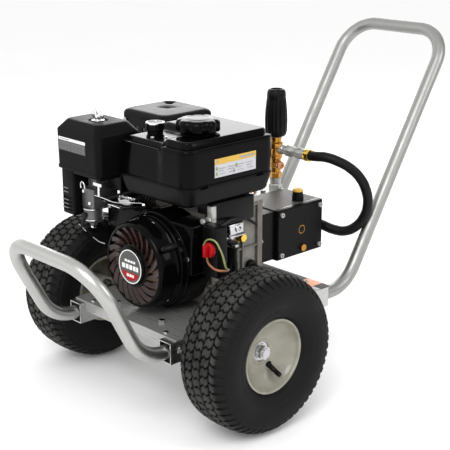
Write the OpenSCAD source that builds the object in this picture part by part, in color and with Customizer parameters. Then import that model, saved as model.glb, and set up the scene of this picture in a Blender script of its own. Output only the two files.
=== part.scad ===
// Petrol pressure washer: a direct-drive triplex pump on a small engine,
// carried by a two-wheel aluminium cart with a bumper and a push handle.
// Millimetres. X runs across the cart, Y from bumper to handle, Z up.
// Every module is drawn with Y = 0 at the axle; place() then centres the whole.

/* [Cart] */
// Width over the two side rails
rail_span = 332; // [328:1:336]
// Height of the deck's top face
deck_top = 190; // [188:1:192]
// Front edge of the deck, ahead of the axle
deck_front = 125; // [120:1:130]
// Rear edge of the deck, behind the axle
deck_rear = 300; // [295:1:305]
// Outside diameter of the frame tube
tube_d = 30; // [29:0.5:30]
// Distance from the axle forward to the bumper's top bar
bumper_reach = 306; // [302:1:310]
// Height of the bumper's top bar
bumper_top = 369; // [364:1:374]
// Distance from the axle back to the handle's grip bar
handle_reach = 752; // [745:1:760]
// Height of the handle's grip bar
handle_top = 715; // [705:1:725]
// Radius of the handle's top corners
handle_corner_r = 80; // [70:5:90]

/* [Wheels] */
// Outside diameter of a tyre
tyre_d = 330; // [328:1:332]
// Width of a tyre
tyre_w = 130; // [126:1:134]
// Distance between the middles of the two tyres
track = 530; // [530:1:536]
// Diameter of a rim's flange
rim_d = 148; // [144:1:152]
// Diameter of the axle
axle_d = 20; // [18:1:20]

/* [Engine] */
// Height of the crankshaft above the deck
shaft_rise = 107; // [106:1:110]
// Radius of the fan housing's round front
fan_r = 105; // [103:1:106]
// Radius of the recoil starter's cover
recoil_r = 98; // [95:1:99]
// Angle of the cylinder above the horizontal
cylinder_tilt = 25; // [24:1:26]
// Cylinder bore
bore_d = 68; // [66:1:70]
// Height of the fuel tank's top face
tank_top = 560; // [556:1:564]
// Width of the fuel tank
tank_w = 226; // [222:1:227]
// Length of the fuel tank
tank_l = 256; // [252:1:260]

/* [Pump] */
// Length of the pump's crankcase, along the shaft
pump_l = 147; // [145:1:149]
// Height of the pump's crankcase
pump_h = 116; // [114:1:118]
// Diameter of a plunger
plunger_d = 16; // [15:0.5:17]
// Outside diameter of the bypass hose
hose_d = 18; // [16:1:18]

/* [Hidden] */
$fn = 48;
fit = 0.05;            // radial clearance of a shaft in its bore
gap = 0.3;             // gap between bodies that move apart
wheel_z = tyre_d / 2;
tube_r = tube_d / 2;
tube_wall = 2;
bumper_corner_r = 85;  // radius of the bumper's top corners
leg_bend_r = 90;       // radius of the bends where the legs leave the rails
leg_x = 148.5;         // middle of each frame tube
rail_w = 35;
rail_h = 45;
rail_wall = 2.3;
deck_t = 3;
rail_front = deck_front + 15;
rail_rear = deck_rear + 27;
tube_z = wheel_z;
bumper_foot = 199;     // where the bumper's legs would meet the tube line
handle_foot = 405;     // where the handle's legs would meet the tube line
rail_bolt_front = -110;
rail_bolt_rear = 290;
stand_y = 250;
hub_in = 44;           // a hub's inner and outer ends, from the middle of the tyre
hub_out = 12;
nut_room = 16;         // length of axle beyond a hub, for its washer and nut
engine_bolt_xy = [for (x = [-84, 99], y = [68, 143]) [x, y]];
deck_bolt_xy = [[-72, -82], [72, -82]];
shaft_z = deck_top + shaft_rise;
case_x0 = -70;         // engine crankcase, across
case_x1 = 85;
case_y0 = 26;          // engine crankcase, front and rear faces
case_y1 = 185;
case_top = 400;
cover_t = 15;
pto_y = case_y1 + cover_t;
cyl_y = 88;            // middle of the cylinder along the shaft
crank_r = 27;          // throw of the crankpin
bearing_r = 26;        // outside radius of the main bearings
journal_r = 12.5;      // radius of the shafts in their bearings
cover_bolt_xz = [[-60, 214], [0, 214], [74, 214], [-60, 388], [10, 388], [74, 388], [74, 300]];
head_at = 165;         // distance from crank to cylinder head, up the bore
fan_y0 = -50;          // fan housing, front and rear edges
fan_y1 = 24;
duct_a = [-164, -34, 286];     // air duct beside the drum, lowest and highest corners
duct_b = [112, fan_y1, 392];
skin = 2;
recoil_face = -98;
pull_dir = 32;         // angle of the starter cord above the horizontal
cord_y = -74;          // where the starter cord runs, along the shaft
cleaner_a = [-272, -88, 457];  // air cleaner cover, lowest and highest corners
cleaner_b = [-118.5, 30, 545];
stud_x = -186;         // stud that holds the air cleaner
stud_y = -34;
bowl_x = -196;         // middle of the carburettor's bowl
bowl_y = -48;
bowl_r = 21;
choke_x = -127;        // pivot of the choke lever
choke_z = 422;
muffler_a = [-272, 115, 446];  // muffler, lowest and highest corners
muffler_b = [-142, 246, 546];
pipe_x = -165;         // middle of the exhaust pipe
tank_x0 = -116;
tank_x1 = tank_x0 + tank_w;
tank_y0 = -44;
tank_y1 = tank_y0 + tank_l;
tank_seam = 467;
tank_floor = 425;
tank_corner = 26;
cap_x = 32;            // middle of the fuel cap
cap_y = 58;
switch_at = [143, -6, 347];    // middle of the engine switch's face
dipstick_at = [case_x0, 150, 236];
pump_y0 = 251;
pump_y1 = pump_y0 + pump_l;
pump_x0 = -45;
pump_x1 = 68;
pump_z0 = 244;
pump_z1 = pump_z0 + pump_h;
pump_shaft_r = 16;
manifold_x0 = -110;
plunger_y = [286, 324, 362];
pump_cover_t = 12;
pump_screw_yz = [for (y = [pump_y0 + 11, pump_y1 - 11], z = [pump_z0 + 11, pump_z1 - 11]) [y, z]];
drain_at = [331, 259]; // across and up the pump cover
sight_at = [329, 302];
filler_at = [48, 348]; // oil filler in the pump's top
inlet_at = [300, 272]; // water inlet and pressure outlet, across and up the manifold
outlet_at = [345, 335];
inlet_r = 13.3;        // outside radii of the two threads, and their length
outlet_r = 11;
port_l = 30;
unloader_x = -62;
unloader_y = 388;
outlet_z = 457;        // height of the unloader's side outlet
inlet_z = 290;         // height of the pump's bypass inlet
inlet_y = 424;
// Middle line of the bypass hose, from the unloader round to the pump's inlet
hose_points = [
    [42, 388, 457], [62, 389, 458], [86, 397, 459], [110, 410, 452], [131, 427, 438],
    [147, 446, 414], [155, 460, 383], [154, 469, 350], [146, 468, 318], [130, 458, 292],
    [108, 446, 279], [84, 436, 279], [58, 428, 285], [30, 424, 290], [0, 424, 290]];
axle_shift = (bumper_reach - handle_reach) / 2;

// ---------- placing helpers ----------
module place() { translate([0, axle_shift, 0]) children(); }
module to_right(p) { translate(p) rotate([0, 90, 0]) children(); }
module to_left(p) { translate(p) rotate([0, -90, 0]) children(); }
module to_rear(p) { translate(p) rotate([-90, 0, 0]) children(); }
module to_front(p) { translate(p) rotate([90, 0, 0]) children(); }
module both_sides() { children(); mirror([1, 0, 0]) children(); }
module block(a, b) { translate(a) cube(b - a); }

// A block whose four upright edges are round
module pillar_block(a, b, r) {
    hull() for (x = [a.x + r, b.x - r], y = [a.y + r, b.y - r])
        translate([x, y, a.z]) cylinder(r = r, h = b.z - a.z, $fn = 32);
}

// A ring around the local Z axis
module ring(outer, inner, h) {
    difference() {
        cylinder(r = outer, h = h);
        translate([0, 0, -1]) cylinder(r = inner, h = h + 2);
    }
}

// A hexagon-head bolt whose head stands on z = 0, with an optional nut
module hex_bolt(r, length, nut_at = 0) {
    cylinder(r = r * 1.75, h = r * 1.3, $fn = 6);
    translate([0, 0, -length]) cylinder(r = r, h = length + 1);
    if (nut_at > 0) translate([0, 0, -nut_at - r * 1.6]) cylinder(r = r * 1.75, h = r * 1.6, $fn = 6);
}

// ---------- bent frame tube ----------
// Middle line of the right half of a U-shaped frame tube: it lies in the rail, bends up
// as a leg, and turns a corner into the cross bar. toward is -1 for the bumper, 1 for the handle.
function half_loop(inside, foot, reach, top, corner_r, toward) =
    let (rise = top - tube_z,
         angle = atan2(rise, reach - foot),
         cut = leg_bend_r * tan(angle / 2),
         up = [0, toward * cos(angle), sin(angle)],
         corner = [leg_x - corner_r, toward * reach, top] - corner_r * up)
    concat([[leg_x, toward * inside, tube_z]],
           [for (a = [0:angle / 8:angle]) [leg_x, toward * (foot - cut + leg_bend_r * sin(a)),
                                           tube_z + leg_bend_r * (1 - cos(a))]],
           [for (a = [0:9:90]) corner + corner_r * ([cos(a), 0, 0] + sin(a) * up)]);
function mirrored(p) = [for (i = [len(p) - 1:-1:0]) [-p[i].x, p[i].y, p[i].z]];

module loop(inside, foot, reach, top, corner_r, toward, bolt_y) {
    half = half_loop(inside, foot, reach, top, corner_r, toward);
    difference() {
        hollow_tube(concat(half, mirrored(half)), tube_r, tube_r - tube_wall, 20);
        both_sides() to_right([leg_x - 20, bolt_y, tube_z]) cylinder(r = 4 + fit, h = 40);
    }
}

module front_bumper() {
    color("silver") loop(60, bumper_foot, bumper_reach, bumper_top, bumper_corner_r, -1, rail_bolt_front);
}

module handle() {
    color("silver") loop(240, handle_foot, handle_reach, handle_top, handle_corner_r, 1, rail_bolt_rear);
}

// ---------- cart ----------
module deck_plate() {
    half = rail_span / 2;
    lip = half - rail_w - gap;
    color("lightgray") difference() {
        union() {
            block([-half, -deck_front, deck_top - deck_t], [half, deck_rear, deck_top]);
            block([-lip, -deck_front, deck_top - 23], [lip, deck_t - deck_front, deck_top - deck_t]);
            block([-lip, deck_rear - deck_t, deck_top - 23], [lip, deck_rear, deck_top - deck_t]);
        }
        for (p = concat(engine_bolt_xy, deck_bolt_xy))
            translate([p.x, p.y, deck_top - 10]) cylinder(r = 4 + fit, h = 20);
    }
}

module side_rails() {
    half = rail_span / 2;
    top = deck_top - deck_t;
    color("silver") both_sides() difference() {
        block([half - rail_w, -rail_front, top - rail_h], [half, rail_rear, top]);
        block([half - rail_w + rail_wall, -rail_front - 1, top - rail_h + rail_wall],
              [half - rail_wall, rail_rear + 1, top - rail_wall]);
        to_right([half - rail_w - 1, 0, wheel_z]) cylinder(r = axle_d / 2 + fit, h = rail_w + 2);
        for (y = [rail_bolt_front, rail_bolt_rear])
            to_right([half - rail_w - 1, y, tube_z]) cylinder(r = 4 + fit, h = rail_w + 2);
    }
}

// Bolts that clamp the frame tubes in the rails, and the two that hold the deck's front
module frame_bolts() {
    half = rail_span / 2;
    color("gainsboro") {
        both_sides() for (y = [rail_bolt_front, rail_bolt_rear]) to_right([half, y, tube_z])
            hex_bolt(4, rail_w + 8, rail_w);
        for (p = deck_bolt_xy) translate([p.x, p.y, deck_top]) hex_bolt(4, 12, deck_t);
    }
}

module axle() {
    length = track + 2 * (hub_out + nut_room);
    color("gray") to_right([-length / 2, 0, wheel_z]) cylinder(r = axle_d / 2, h = length);
}

// Spacer tubes between rails and hubs, and the washer and nut at each end of the axle
module axle_nuts() {
    bore = axle_d / 2 + fit;
    inner = rail_span / 2 + gap;
    color("gainsboro") both_sides() {
        to_right([inner, 0, wheel_z]) ring(14, bore, track / 2 - hub_in - gap - inner);
        to_right([track / 2 + hub_out + gap, 0, wheel_z]) {
            ring(17, bore, 2.5);
            translate([0, 0, 2.5]) difference() {
                cylinder(r = 15, h = 10, $fn = 6);
                translate([0, 0, -1]) cylinder(r = bore, h = 12);
            }
        }
    }
}

module rear_stand() {
    top = deck_top - deck_t;
    color("silver") {
        both_sides() block([74, stand_y - 18, 26], [79, stand_y + 18, top - 3]);
        block([-100, stand_y - 18, top - 3], [100, stand_y + 18, top]);
        block([-79, stand_y - 18, 22], [79, stand_y + 18, 26]);
    }
}

module rear_feet() {
    color("dimgray") both_sides() translate([58, stand_y, 0]) {
        cylinder(r = 17, h = 14);
        translate([0, 0, 14]) cylinder(r = 13, h = 8);
    }
}

// ---------- wheels: local Z points outwards ----------
module wheel_at(side) { translate([side * track / 2, 0, wheel_z]) rotate([0, side * 90, 0]) children(); }

// Rounded-square section of the tyre, as points of a superellipse
function section(mid, tall, wide, power) = [for (a = [0:6:354])
    [mid + tall * sign(cos(a)) * pow(abs(cos(a)), power), wide * sign(sin(a)) * pow(abs(sin(a)), power)]];

module tyre() {
    mid = 116;
    tall = wheel_z - mid;
    seat = rim_d / 2 + fit;
    color([0.09, 0.09, 0.09]) rotate_extrude($fn = 96) difference() {
        polygon(section(mid, tall, tyre_w / 2, 0.7));
        polygon(section(mid, tall - 9, tyre_w / 2 - 7, 0.8));
        translate([0, -60]) square([seat, 120]);
        translate([0, -28]) square([seat + 20, 56]);
    }
}

module rim() {
    r = rim_d / 2;
    color([0.8, 0.79, 0.75]) difference() {
        rotate_extrude($fn = 96) {
            translate([r - 3, -46]) square([3, 92]);
            for (s = [-44.5, 44.5]) translate([r - 3.5, s]) circle(r = 3);
            translate([20 + fit, -hub_in]) square([5, hub_in + hub_out]);
            polygon([[r - 2, 44], [66, 33], [57, 22], [44, 13], [24, 9],
                     [24, 6], [45, 10], [59, 19], [68, 31], [r - 2, 40]]);
        }
        translate([33, 20, -5]) cylinder(r = 4 + fit, h = 60);
    }
}

module bearings() {
    color("slategray") for (s = [-hub_in, hub_out - 12])
        translate([0, 0, s]) ring(20, axle_d / 2 + fit, 12);
}

module valve_stem() {
    color([0.08, 0.08, 0.08]) translate([33, 20, 6]) {
        cylinder(r = 4, h = 26);
        translate([0, 0, 25]) cylinder(r = 3, h = 10);
    }
}

module left_tyre() { wheel_at(-1) tyre(); }
module right_tyre() { wheel_at(1) tyre(); }
module left_rim() { wheel_at(-1) rim(); }
module right_rim() { wheel_at(1) rim(); }
module left_bearings() { wheel_at(-1) bearings(); }
module right_bearings() { wheel_at(1) bearings(); }
module left_valve_stem() { wheel_at(-1) valve_stem(); }
module right_valve_stem() { wheel_at(1) valve_stem(); }

// ---------- engine ----------
// Local Z runs up the cylinder's bore from the crankshaft
module up_bore() { translate([0, cyl_y, shaft_z]) rotate([0, cylinder_tilt - 90, 0]) children(); }

module crankcase() {
    wall = 8;
    color([0.55, 0.54, 0.52]) difference() {
        union() {
            block([case_x0, case_y0, deck_top + 12], [case_x1, case_y1, case_top]);
            for (y = [68, 143]) block([-98, y - 16, deck_top], [113, y + 16, deck_top + 14]);
            block([case_x0, case_y0 + 16, deck_top], [case_x1, case_y1 - 4, deck_top + 14]);
            up_bore() {
                translate([0, 0, 60]) cylinder(r = 46, h = head_at - 60);
                for (z = [92:9:155]) translate([-50, -50, z]) cube([100, 100, 3]);
            }
        }
        block([case_x0 + wall, case_y0 + wall, deck_top + 20],
              [case_x1 - wall, case_y1 + 1, case_top - wall]);
        up_bore() translate([0, 0, 10]) cylinder(r = bore_d / 2, h = head_at);
        to_rear([0, case_y0 - 1, shaft_z]) cylinder(r = bearing_r + fit, h = wall + 2);
        for (p = engine_bolt_xy) translate([p.x, p.y, deck_top - 1]) cylinder(r = 4 + fit, h = 20);
        to_left(dipstick_at + [10, 0, 0]) cylinder(r = 9 + fit, h = 20);
    }
}

module crankcase_cover() {
    color([0.5, 0.47, 0.44]) difference() {
        union() {
            block([case_x0, case_y1, deck_top + 14], [case_x1, pto_y - 4, case_top]);
            to_rear([0, case_y1, shaft_z]) cylinder(r = 60, h = cover_t);
            for (p = cover_bolt_xz) to_rear([p.x, case_y1, p.y]) cylinder(r = 9, h = cover_t - 2);
        }
        to_rear([0, case_y1 - 1, shaft_z]) cylinder(r = bearing_r + fit, h = 11);
        to_rear([0, case_y1, shaft_z]) cylinder(r = journal_r + 2, h = 30);
    }
}

module main_bearings() {
    color("slategray") for (y = [case_y0 - 2, case_y1 + 0.5])
        to_rear([0, y, shaft_z]) ring(bearing_r, journal_r + fit, 9);
}

module crankshaft() {
    web = 9;
    color("silver") {
        to_rear([0, -30, shaft_z]) cylinder(r = journal_r, h = cyl_y - 14 + 30 - web);
        to_rear([0, cyl_y + 14 + web - 1, shaft_z]) cylinder(r = journal_r, h = pto_y + 4 - cyl_y - 22);
        to_rear([0, pto_y + 2, shaft_z]) cylinder(r = 9.5, h = 60);
        for (y = [cyl_y - 14 - web, cyl_y + 14]) to_rear([0, y, shaft_z]) cylinder(r = 40, h = web);
        to_rear([0, cyl_y - 15, shaft_z + crank_r]) cylinder(r = 9, h = 30);
    }
}

module flywheel() {
    blades = 12;
    color("silver") to_rear([0, -36, shaft_z]) difference() {
        union() {
            translate([0, 0, 24]) cylinder(r = 92, h = 18);
            cylinder(r = 24, h = 30);
            for (i = [0:blades - 1]) rotate(i * 360 / blades)
                translate([48, -1.5, 4]) cube([42, 3, 22]);
        }
        translate([0, 0, 6]) cylinder(r = journal_r + fit, h = 60);
    }
}

module piston() {
    color("lightgray") up_bore() {
        difference() {
            translate([0, 0, 105]) cylinder(r = bore_d / 2 - fit, h = 46);
            translate([0, 0, 100]) cylinder(r = bore_d / 2 - 5, h = 42);
        }
        translate([-7, -9, 46]) cube([14, 18, 97]);
    }
}

module cylinder_head() {
    port = 11;
    color([0.55, 0.54, 0.52]) difference() {
        up_bore() {
            translate([-50, -50, head_at]) cube([100, 100, 8]);
            translate([-42, -44, head_at]) cube([84, 88, 34]);
            for (z = [14:9:24]) translate([-50, -50, head_at + z]) cube([100, 100, 3]);
        }
        up_bore() translate([0, 0, head_at + 17]) rotate([90, 0, 0])
            cylinder(r = port, h = 160, center = true);
        up_bore() translate([-51, 0, head_at + 20]) rotate([0, 90, 0]) cylinder(r = 7 + fit, h = 40);
    }
}

module rocker_cover() {
    color([0.6, 0.6, 0.6]) up_bore() translate([0, 0, head_at + 34]) difference() {
        union() {
            translate([-41, -41, 0]) cube([82, 82, 5]);
            hull() for (x = [-28, 28], y = [-28, 28]) translate([x, y, 4]) {
                cylinder(r = 9, h = 18, $fn = 32);
                cylinder(r = 5, h = 26, $fn = 32);
            }
        }
        translate([-28, -28, -1]) cube([56, 56, 24]);
    }
}

module spark_plug() {
    color([0.1, 0.1, 0.1]) up_bore() translate([-51, 0, head_at + 20]) rotate([0, 90, 0]) {
        translate([0, 0, -1]) cylinder(r = 7, h = 33);
        translate([0, 0, -34]) cylinder(r = 10, h = 34);
    }
}

// Shroud around the flywheel; its upper part leads the cooling air to the cylinder
module fan_shape(inset, y0, y1) {
    to_rear([0, y0, shaft_z]) cylinder(r = fan_r - inset, h = y1 - y0, $fn = 96);
    block(duct_a + [inset, y0 - fan_y0, inset], [duct_b.x - inset, y1, duct_b.z - inset]);
}

module fan_housing() {
    color([0.07, 0.07, 0.07]) difference() {
        fan_shape(0, fan_y0, fan_y1);
        fan_shape(skin, fan_y0 + skin, fan_y1 + 1);
        to_rear([0, fan_y0 - 1, shaft_z]) cylinder(r = 84, h = skin + 2, $fn = 96);
    }
}

// Local Z runs out along the starter cord
module along_pull(y) { translate([0, y, shaft_z]) rotate([0, 90 - pull_dir, 0]) children(); }

module recoil_cover() {
    slots = 16;
    face = -recoil_face;
    color([0.07, 0.07, 0.07]) difference() {
        to_front([0, 0, shaft_z]) {
            difference() {
                union() {
                    translate([0, 0, -fan_y0]) cylinder(r = recoil_r, h = 8, $fn = 96);
                    translate([0, 0, -fan_y0 + 8])
                        cylinder(r1 = recoil_r - 2, r2 = recoil_r - 8, h = 30, $fn = 96);
                    translate([0, 0, face - 10]) cylinder(r1 = recoil_r - 8, r2 = 80, h = 10, $fn = 96);
                    translate([0, 0, face - 1]) cylinder(r = 40, h = 7);
                }
                translate([0, 0, -fan_y0 - 1])
                    cylinder(r = recoil_r - 11, h = face + fan_y0 - 1, $fn = 96);
            }
            translate([0, 0, face - 22]) cylinder(r = 8, h = 22);
        }
        for (i = [0:slots - 1]) to_front([0, recoil_face + 10, shaft_z]) rotate(i * 360 / slots)
            translate([48, -3.5, 0]) cube([26, 7, 14]);
        along_pull(cord_y) translate([0, 0, 60]) cylinder(r = 8, h = 60);
    }
}

module recoil_pulley() {
    color([0.2, 0.2, 0.2]) to_front([0, -68, shaft_z]) difference() {
        union() {
            cylinder(r = 66, h = 4);
            cylinder(r = 60, h = 18);
            translate([0, 0, 14]) cylinder(r = 66, h = 4);
        }
        translate([0, 0, 6]) cylinder(r = 8 + fit, h = 20);
    }
}

module starter_grip() {
    color([0.1, 0.1, 0.1]) along_pull(cord_y) translate([0, 0, 100]) {
        translate([-7, -15, 4]) cube([14, 30, 12]);
        for (y = [-15, 15]) translate([0, y, 4]) cylinder(r = 7, h = 12);
        translate([0, 0, -8]) cylinder(r = 6, h = 14);
    }
}

module carburetor() {
    color([0.5, 0.5, 0.48]) {
        block([-214, -64, 372], [-172, 4, 418]);
        translate([bowl_x, bowl_y, 338]) cylinder(r = bowl_r, h = 35);
        translate([bowl_x, bowl_y, 331]) cylinder(r = 8, h = 8);
        to_rear([-182, 4, 376]) cylinder(r = 14, h = 34);
        block([-206, -52, 416], [-178, -12, 442]);
    }
}

module lever(length, knob_r) {
    cylinder(r = 7, h = 3);
    translate([0, -4, 0]) cube([length, 8, 3]);
    translate([length, 0, 0]) cylinder(r = knob_r, h = 3);
}

module choke_lever() {
    color("gainsboro") to_front([choke_x, -88.5, choke_z]) {
        rotate(40) lever(34, 6);
        translate([0, 0, gap - 28.5]) cylinder(r = 4, h = 29);
    }
}

module fuel_valve_lever() {
    color([0.12, 0.12, 0.12]) to_front([bowl_x, bowl_y - bowl_r - 2, 358]) {
        rotate(250) lever(26, 5);
        translate([0, 0, -0.7]) cylinder(r = 4, h = 2);
    }
}

module throttle_lever() {
    color([0.3, 0.3, 0.3]) translate([-60, -14, duct_b.z + gap]) {
        rotate(-120) lever(46, 7);
        cylinder(r = 5, h = 6);
    }
}

module air_cleaner_base() {
    color([0.08, 0.08, 0.08]) {
        difference() {
            block([-265, -80, 352], [-220, 22, 457]);
            block([-262, -77, 355], [-223, 19, 458]);
            for (z = [362:9:426]) block([-266, -70, z], [-261, 10, z + 4]);
        }
        difference() {
            block([-220, -80, 449], [-124, 22, 457]);
            translate([bowl_x, bowl_y + 16, 448]) cylinder(r = 12, h = 12);
        }
        block([-206, -52, 442], [-178, -12, 449]);
        block([choke_x - 8, -60, choke_z - 8], [choke_x + 2, -54, 449]);
        translate([stud_x, stud_y, 449]) cylinder(r = 3, h = 139);
    }
}

module air_filter() {
    color("tan") difference() {
        pillar_block([-218, -72, 457], [-140, 12, 532], 20);
        translate([stud_x, stud_y, 450]) cylinder(r = 22, h = 76);
        translate([stud_x, stud_y, 450]) cylinder(r = 3 + fit, h = 100);
    }
}

module air_cleaner_cover() {
    a = cleaner_a;
    b = cleaner_b;
    color([0.08, 0.08, 0.08]) difference() {
        union() {
            pillar_block(a, b, 14);
            hull() {
                translate([0, 0, b.z]) pillar_edge(a, b, 14, 0);
                translate([0, 0, b.z + 20]) pillar_edge(a, b, 14, 16);
            }
            translate([stud_x, stud_y, b.z + 16]) cylinder(r = 15, h = 6);
        }
        pillar_block([a.x + 3, a.y + 3, a.z - 1], [b.x - 3, b.y - 3, b.z + 8], 12);
        translate([stud_x, stud_y, b.z]) cylinder(r = 3 + fit, h = 30);
    }
}
module pillar_edge(a, b, r, inset) {
    for (x = [a.x + r + inset, b.x - r - inset], y = [a.y + r + inset, b.y - r - inset])
        translate([x, y, -0.1]) cylinder(r = r, h = 0.1, $fn = 32);
}

module wing_nut() {
    color("gainsboro") translate([stud_x, stud_y, cleaner_b.z + 22.3]) difference() {
        union() {
            cylinder(r = 7, h = 10);
            for (s = [-1, 1]) translate([s * 11, 0, 12]) rotate([0, s * 35, 0])
                cube([18, 3, 14], center = true);
        }
        translate([0, 0, -1]) cylinder(r = 3 + fit, h = 40);
    }
}

module muffler() {
    color([0.35, 0.34, 0.33]) {
        difference() {
            block(muffler_a, muffler_b);
            block(muffler_a + [3, 3, 3], muffler_b - [3, 3, 3]);
        }
        difference() {
            union() {
                translate([pipe_x, 165, 372]) cylinder(r = 14, h = 75);
                to_rear([pipe_x, 138, 380]) cylinder(r = 14, h = 27);
            }
            to_rear([pipe_x, 130, 380]) cylinder(r = 11, h = 34);
        }
    }
}

module muffler_guard() {
    a = [muffler_a.x - 10, muffler_a.y - 9, muffler_a.z - 4];
    b = [muffler_b.x + 10, muffler_b.y + 10, muffler_b.z + 14];
    inner_a = [a.x + 2, a.y + 2, a.z - 1];
    inner_b = [b.x - 2, b.y - 2, b.z - 2];
    color([0.07, 0.07, 0.07]) {
        difference() {
            pillar_block(a, b, 16);
            pillar_block(inner_a, inner_b, 14);
            for (x = [-256:24:-160]) block([x, a.y - 1, 470], [x + 12, a.y + 4, 525]);
        }
        for (x = [muffler_a.x - 8, muffler_b.x]) block([x, 165, 500], [x + 8, 180, 512]);
    }
}

// Rounded tank outline between two heights, with a round top edge
module tank_body(inset, low, high, edge) {
    hull() for (x = [tank_x0 + tank_corner, tank_x1 - tank_corner],
                y = [tank_y0 + tank_corner, tank_y1 - tank_corner]) translate([x, y, 0]) {
        translate([0, 0, low]) cylinder(r = tank_corner - inset, h = high - edge - low, $fn = 32);
        translate([0, 0, high - 6]) cylinder(r = tank_corner - inset - 6, h = 1, $fn = 32);
        translate([0, 0, high - 1]) cylinder(r = tank_corner - inset - edge, h = 1, $fn = 32);
    }
}

module fuel_tank() {
    color([0.06, 0.06, 0.06]) {
        difference() {
            union() {
                tank_body(0, tank_seam, tank_top, 18);
                translate([cap_x, cap_y, tank_top - 3]) cylinder(r = 32, h = 14);
            }
            tank_body(2, tank_seam - 1, tank_top - 2, 18);
            translate([cap_x, cap_y, tank_top - 10]) cylinder(r = 28, h = 40);
        }
        translate([-72, 30, tank_top - 3]) cylinder(r = 20, h = 19);
    }
}

module fuel_tank_base() {
    color([0.12, 0.12, 0.12]) {
        difference() {
            tank_half(0, tank_floor, tank_seam);
            tank_half(2, tank_floor + 2, tank_seam + 1);
        }
        for (p = [[-40, 60], [60, 60], [60, 150]]) translate([p.x, p.y, case_top])
            cylinder(r = 8, h = tank_floor - case_top + 1);
    }
}

// Tank outline whose foot is drawn in
module tank_half(inset, low, high) {
    hull() for (x = [tank_x0 + tank_corner, tank_x1 - tank_corner],
                y = [tank_y0 + tank_corner, tank_y1 - tank_corner]) {
        translate([x, y, high - 18]) cylinder(r = tank_corner - inset, h = 18, $fn = 32);
        translate([x, y, low]) cylinder(r = tank_corner - inset - 14, h = 1, $fn = 32);
    }
}

module fuel_cap_seal() {
    color([0.15, 0.15, 0.15]) translate([cap_x, cap_y, 0]) {
        translate([0, 0, tank_top + 11 + gap]) cylinder(r = 31, h = 3);
        translate([0, 0, tank_top + 1]) cylinder(r = 27, h = 12);
        translate([0, 0, tank_top + 14]) cylinder(r = 8, h = 6);
    }
}

module fuel_cap() {
    lugs = 8;
    color([0.06, 0.06, 0.06]) translate([cap_x, cap_y, tank_top]) difference() {
        union() {
            rotate_extrude() polygon([[0, 3], [42, 3], [42, 26], [37, 31], [0, 31]]);
            for (i = [0:lugs - 1]) rotate(i * 360 / lugs + 10) translate([36, 0, 2])
                cylinder(r = 10, h = 22);
        }
        rotate(5) translate([0, 0, 1]) cylinder(r = 33, h = 14 + gap);
        translate([0, 0, 14]) cylinder(r = 8 + fit, h = 7);
    }
}

module engine_switch() {
    color([0.1, 0.1, 0.1]) {
        block([duct_b.x, -6, 286], [158, 22, duct_b.z]);
        to_front(switch_at) cylinder(r = 14, h = 4);
    }
}

module switch_knob() {
    color("red") to_front(switch_at - [0, 4 + gap, 0]) {
        cylinder(r = 15, h = 8);
        translate([0, 0, 8]) cylinder(r1 = 15, r2 = 9, h = 6);
        translate([-4, -14, 13]) cube([8, 28, 8]);
    }
}

module oil_dipstick() {
    color([0.25, 0.25, 0.25]) to_left(dipstick_at) {
        translate([0, 0, gap]) cylinder(r = 15, h = 10);
        translate([0, 0, -14]) cylinder(r = 9, h = 15);
        translate([0, 0, 10]) rotate([0, 0, 45]) translate([-12, -2, 0]) cube([24, 4, 8]);
    }
}

// Engine feet, crankcase cover and pump adapter bolts
module engine_bolts() {
    color("gainsboro") {
        for (p = engine_bolt_xy) translate([p.x, p.y, deck_top + 14]) hex_bolt(4, 26, 14 + deck_t);
        for (p = cover_bolt_xz) to_rear([p.x, pto_y - 2, p.y]) cylinder(r = 7, h = 6, $fn = 6);
    }
}

// ---------- pump ----------
module pump_adapter() {
    color([0.1, 0.1, 0.1]) difference() {
        union() {
            to_rear([0, pto_y, shaft_z]) cylinder(r = 66, h = 12);
            block([pump_x0 - 3, pto_y + 10, pump_z0 + 3], [pump_x1 + 2, pump_y0, pump_z1 - 2]);
        }
        to_rear([0, pto_y - 1, shaft_z]) cylinder(r = 40, h = 60);
    }
}

module pump_body() {
    wall = 8;
    color([0.15, 0.15, 0.15]) difference() {
        block([pump_x0, pump_y0, pump_z0], [pump_x1, pump_y1, pump_z1]);
        block([pump_x0 + wall, pump_y0 + wall, pump_z0 + wall],
              [pump_x1 + 1, pump_y1 - wall, pump_z1 - wall]);
        to_rear([0, pump_y0 - 1, shaft_z]) cylinder(r = pump_shaft_r + fit, h = wall + 2);
        to_rear([0, pump_y1 - wall - 1, shaft_z]) cylinder(r = journal_r + fit, h = wall - 2);
        for (y = plunger_y) to_left([pump_x0 + wall + 1, y, shaft_z])
            cylinder(r = plunger_d / 2 + fit, h = wall + 2);
        translate([filler_at.x, filler_at.y, pump_z1 - wall - 1]) cylinder(r = 8 + fit, h = wall + 2);
    }
}

module pump_cover() {
    color([0.1, 0.1, 0.1]) difference() {
        union() {
            block([pump_x1, pump_y0, pump_z0], [pump_x1 + pump_cover_t - 2, pump_y1, pump_z1]);
            block([pump_x1 + 2, pump_y0 + 2, pump_z0 + 2],
                  [pump_x1 + pump_cover_t, pump_y1 - 2, pump_z1 - 2]);
        }
        for (p = pump_screw_yz) to_right([pump_x1 - 1, p.x, p.y]) cylinder(r = 3 + fit, h = 20);
        to_right([pump_x1 - 1, drain_at.x, drain_at.y]) cylinder(r = 6 + fit, h = 20);
        to_right([pump_x1 + 4, sight_at.x, sight_at.y]) cylinder(r = 10 + fit, h = 20);
    }
}

module pump_screws() {
    color("gainsboro") for (p = pump_screw_yz) to_right([pump_x1 + pump_cover_t, p.x, p.y]) difference() {
        union() {
            cylinder(r = 5.5, h = 5);
            translate([0, 0, -pump_cover_t]) cylinder(r = 3, h = pump_cover_t + 1);
        }
        translate([0, 0, 2]) cylinder(r = 2.5, h = 4, $fn = 6);
    }
}

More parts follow.
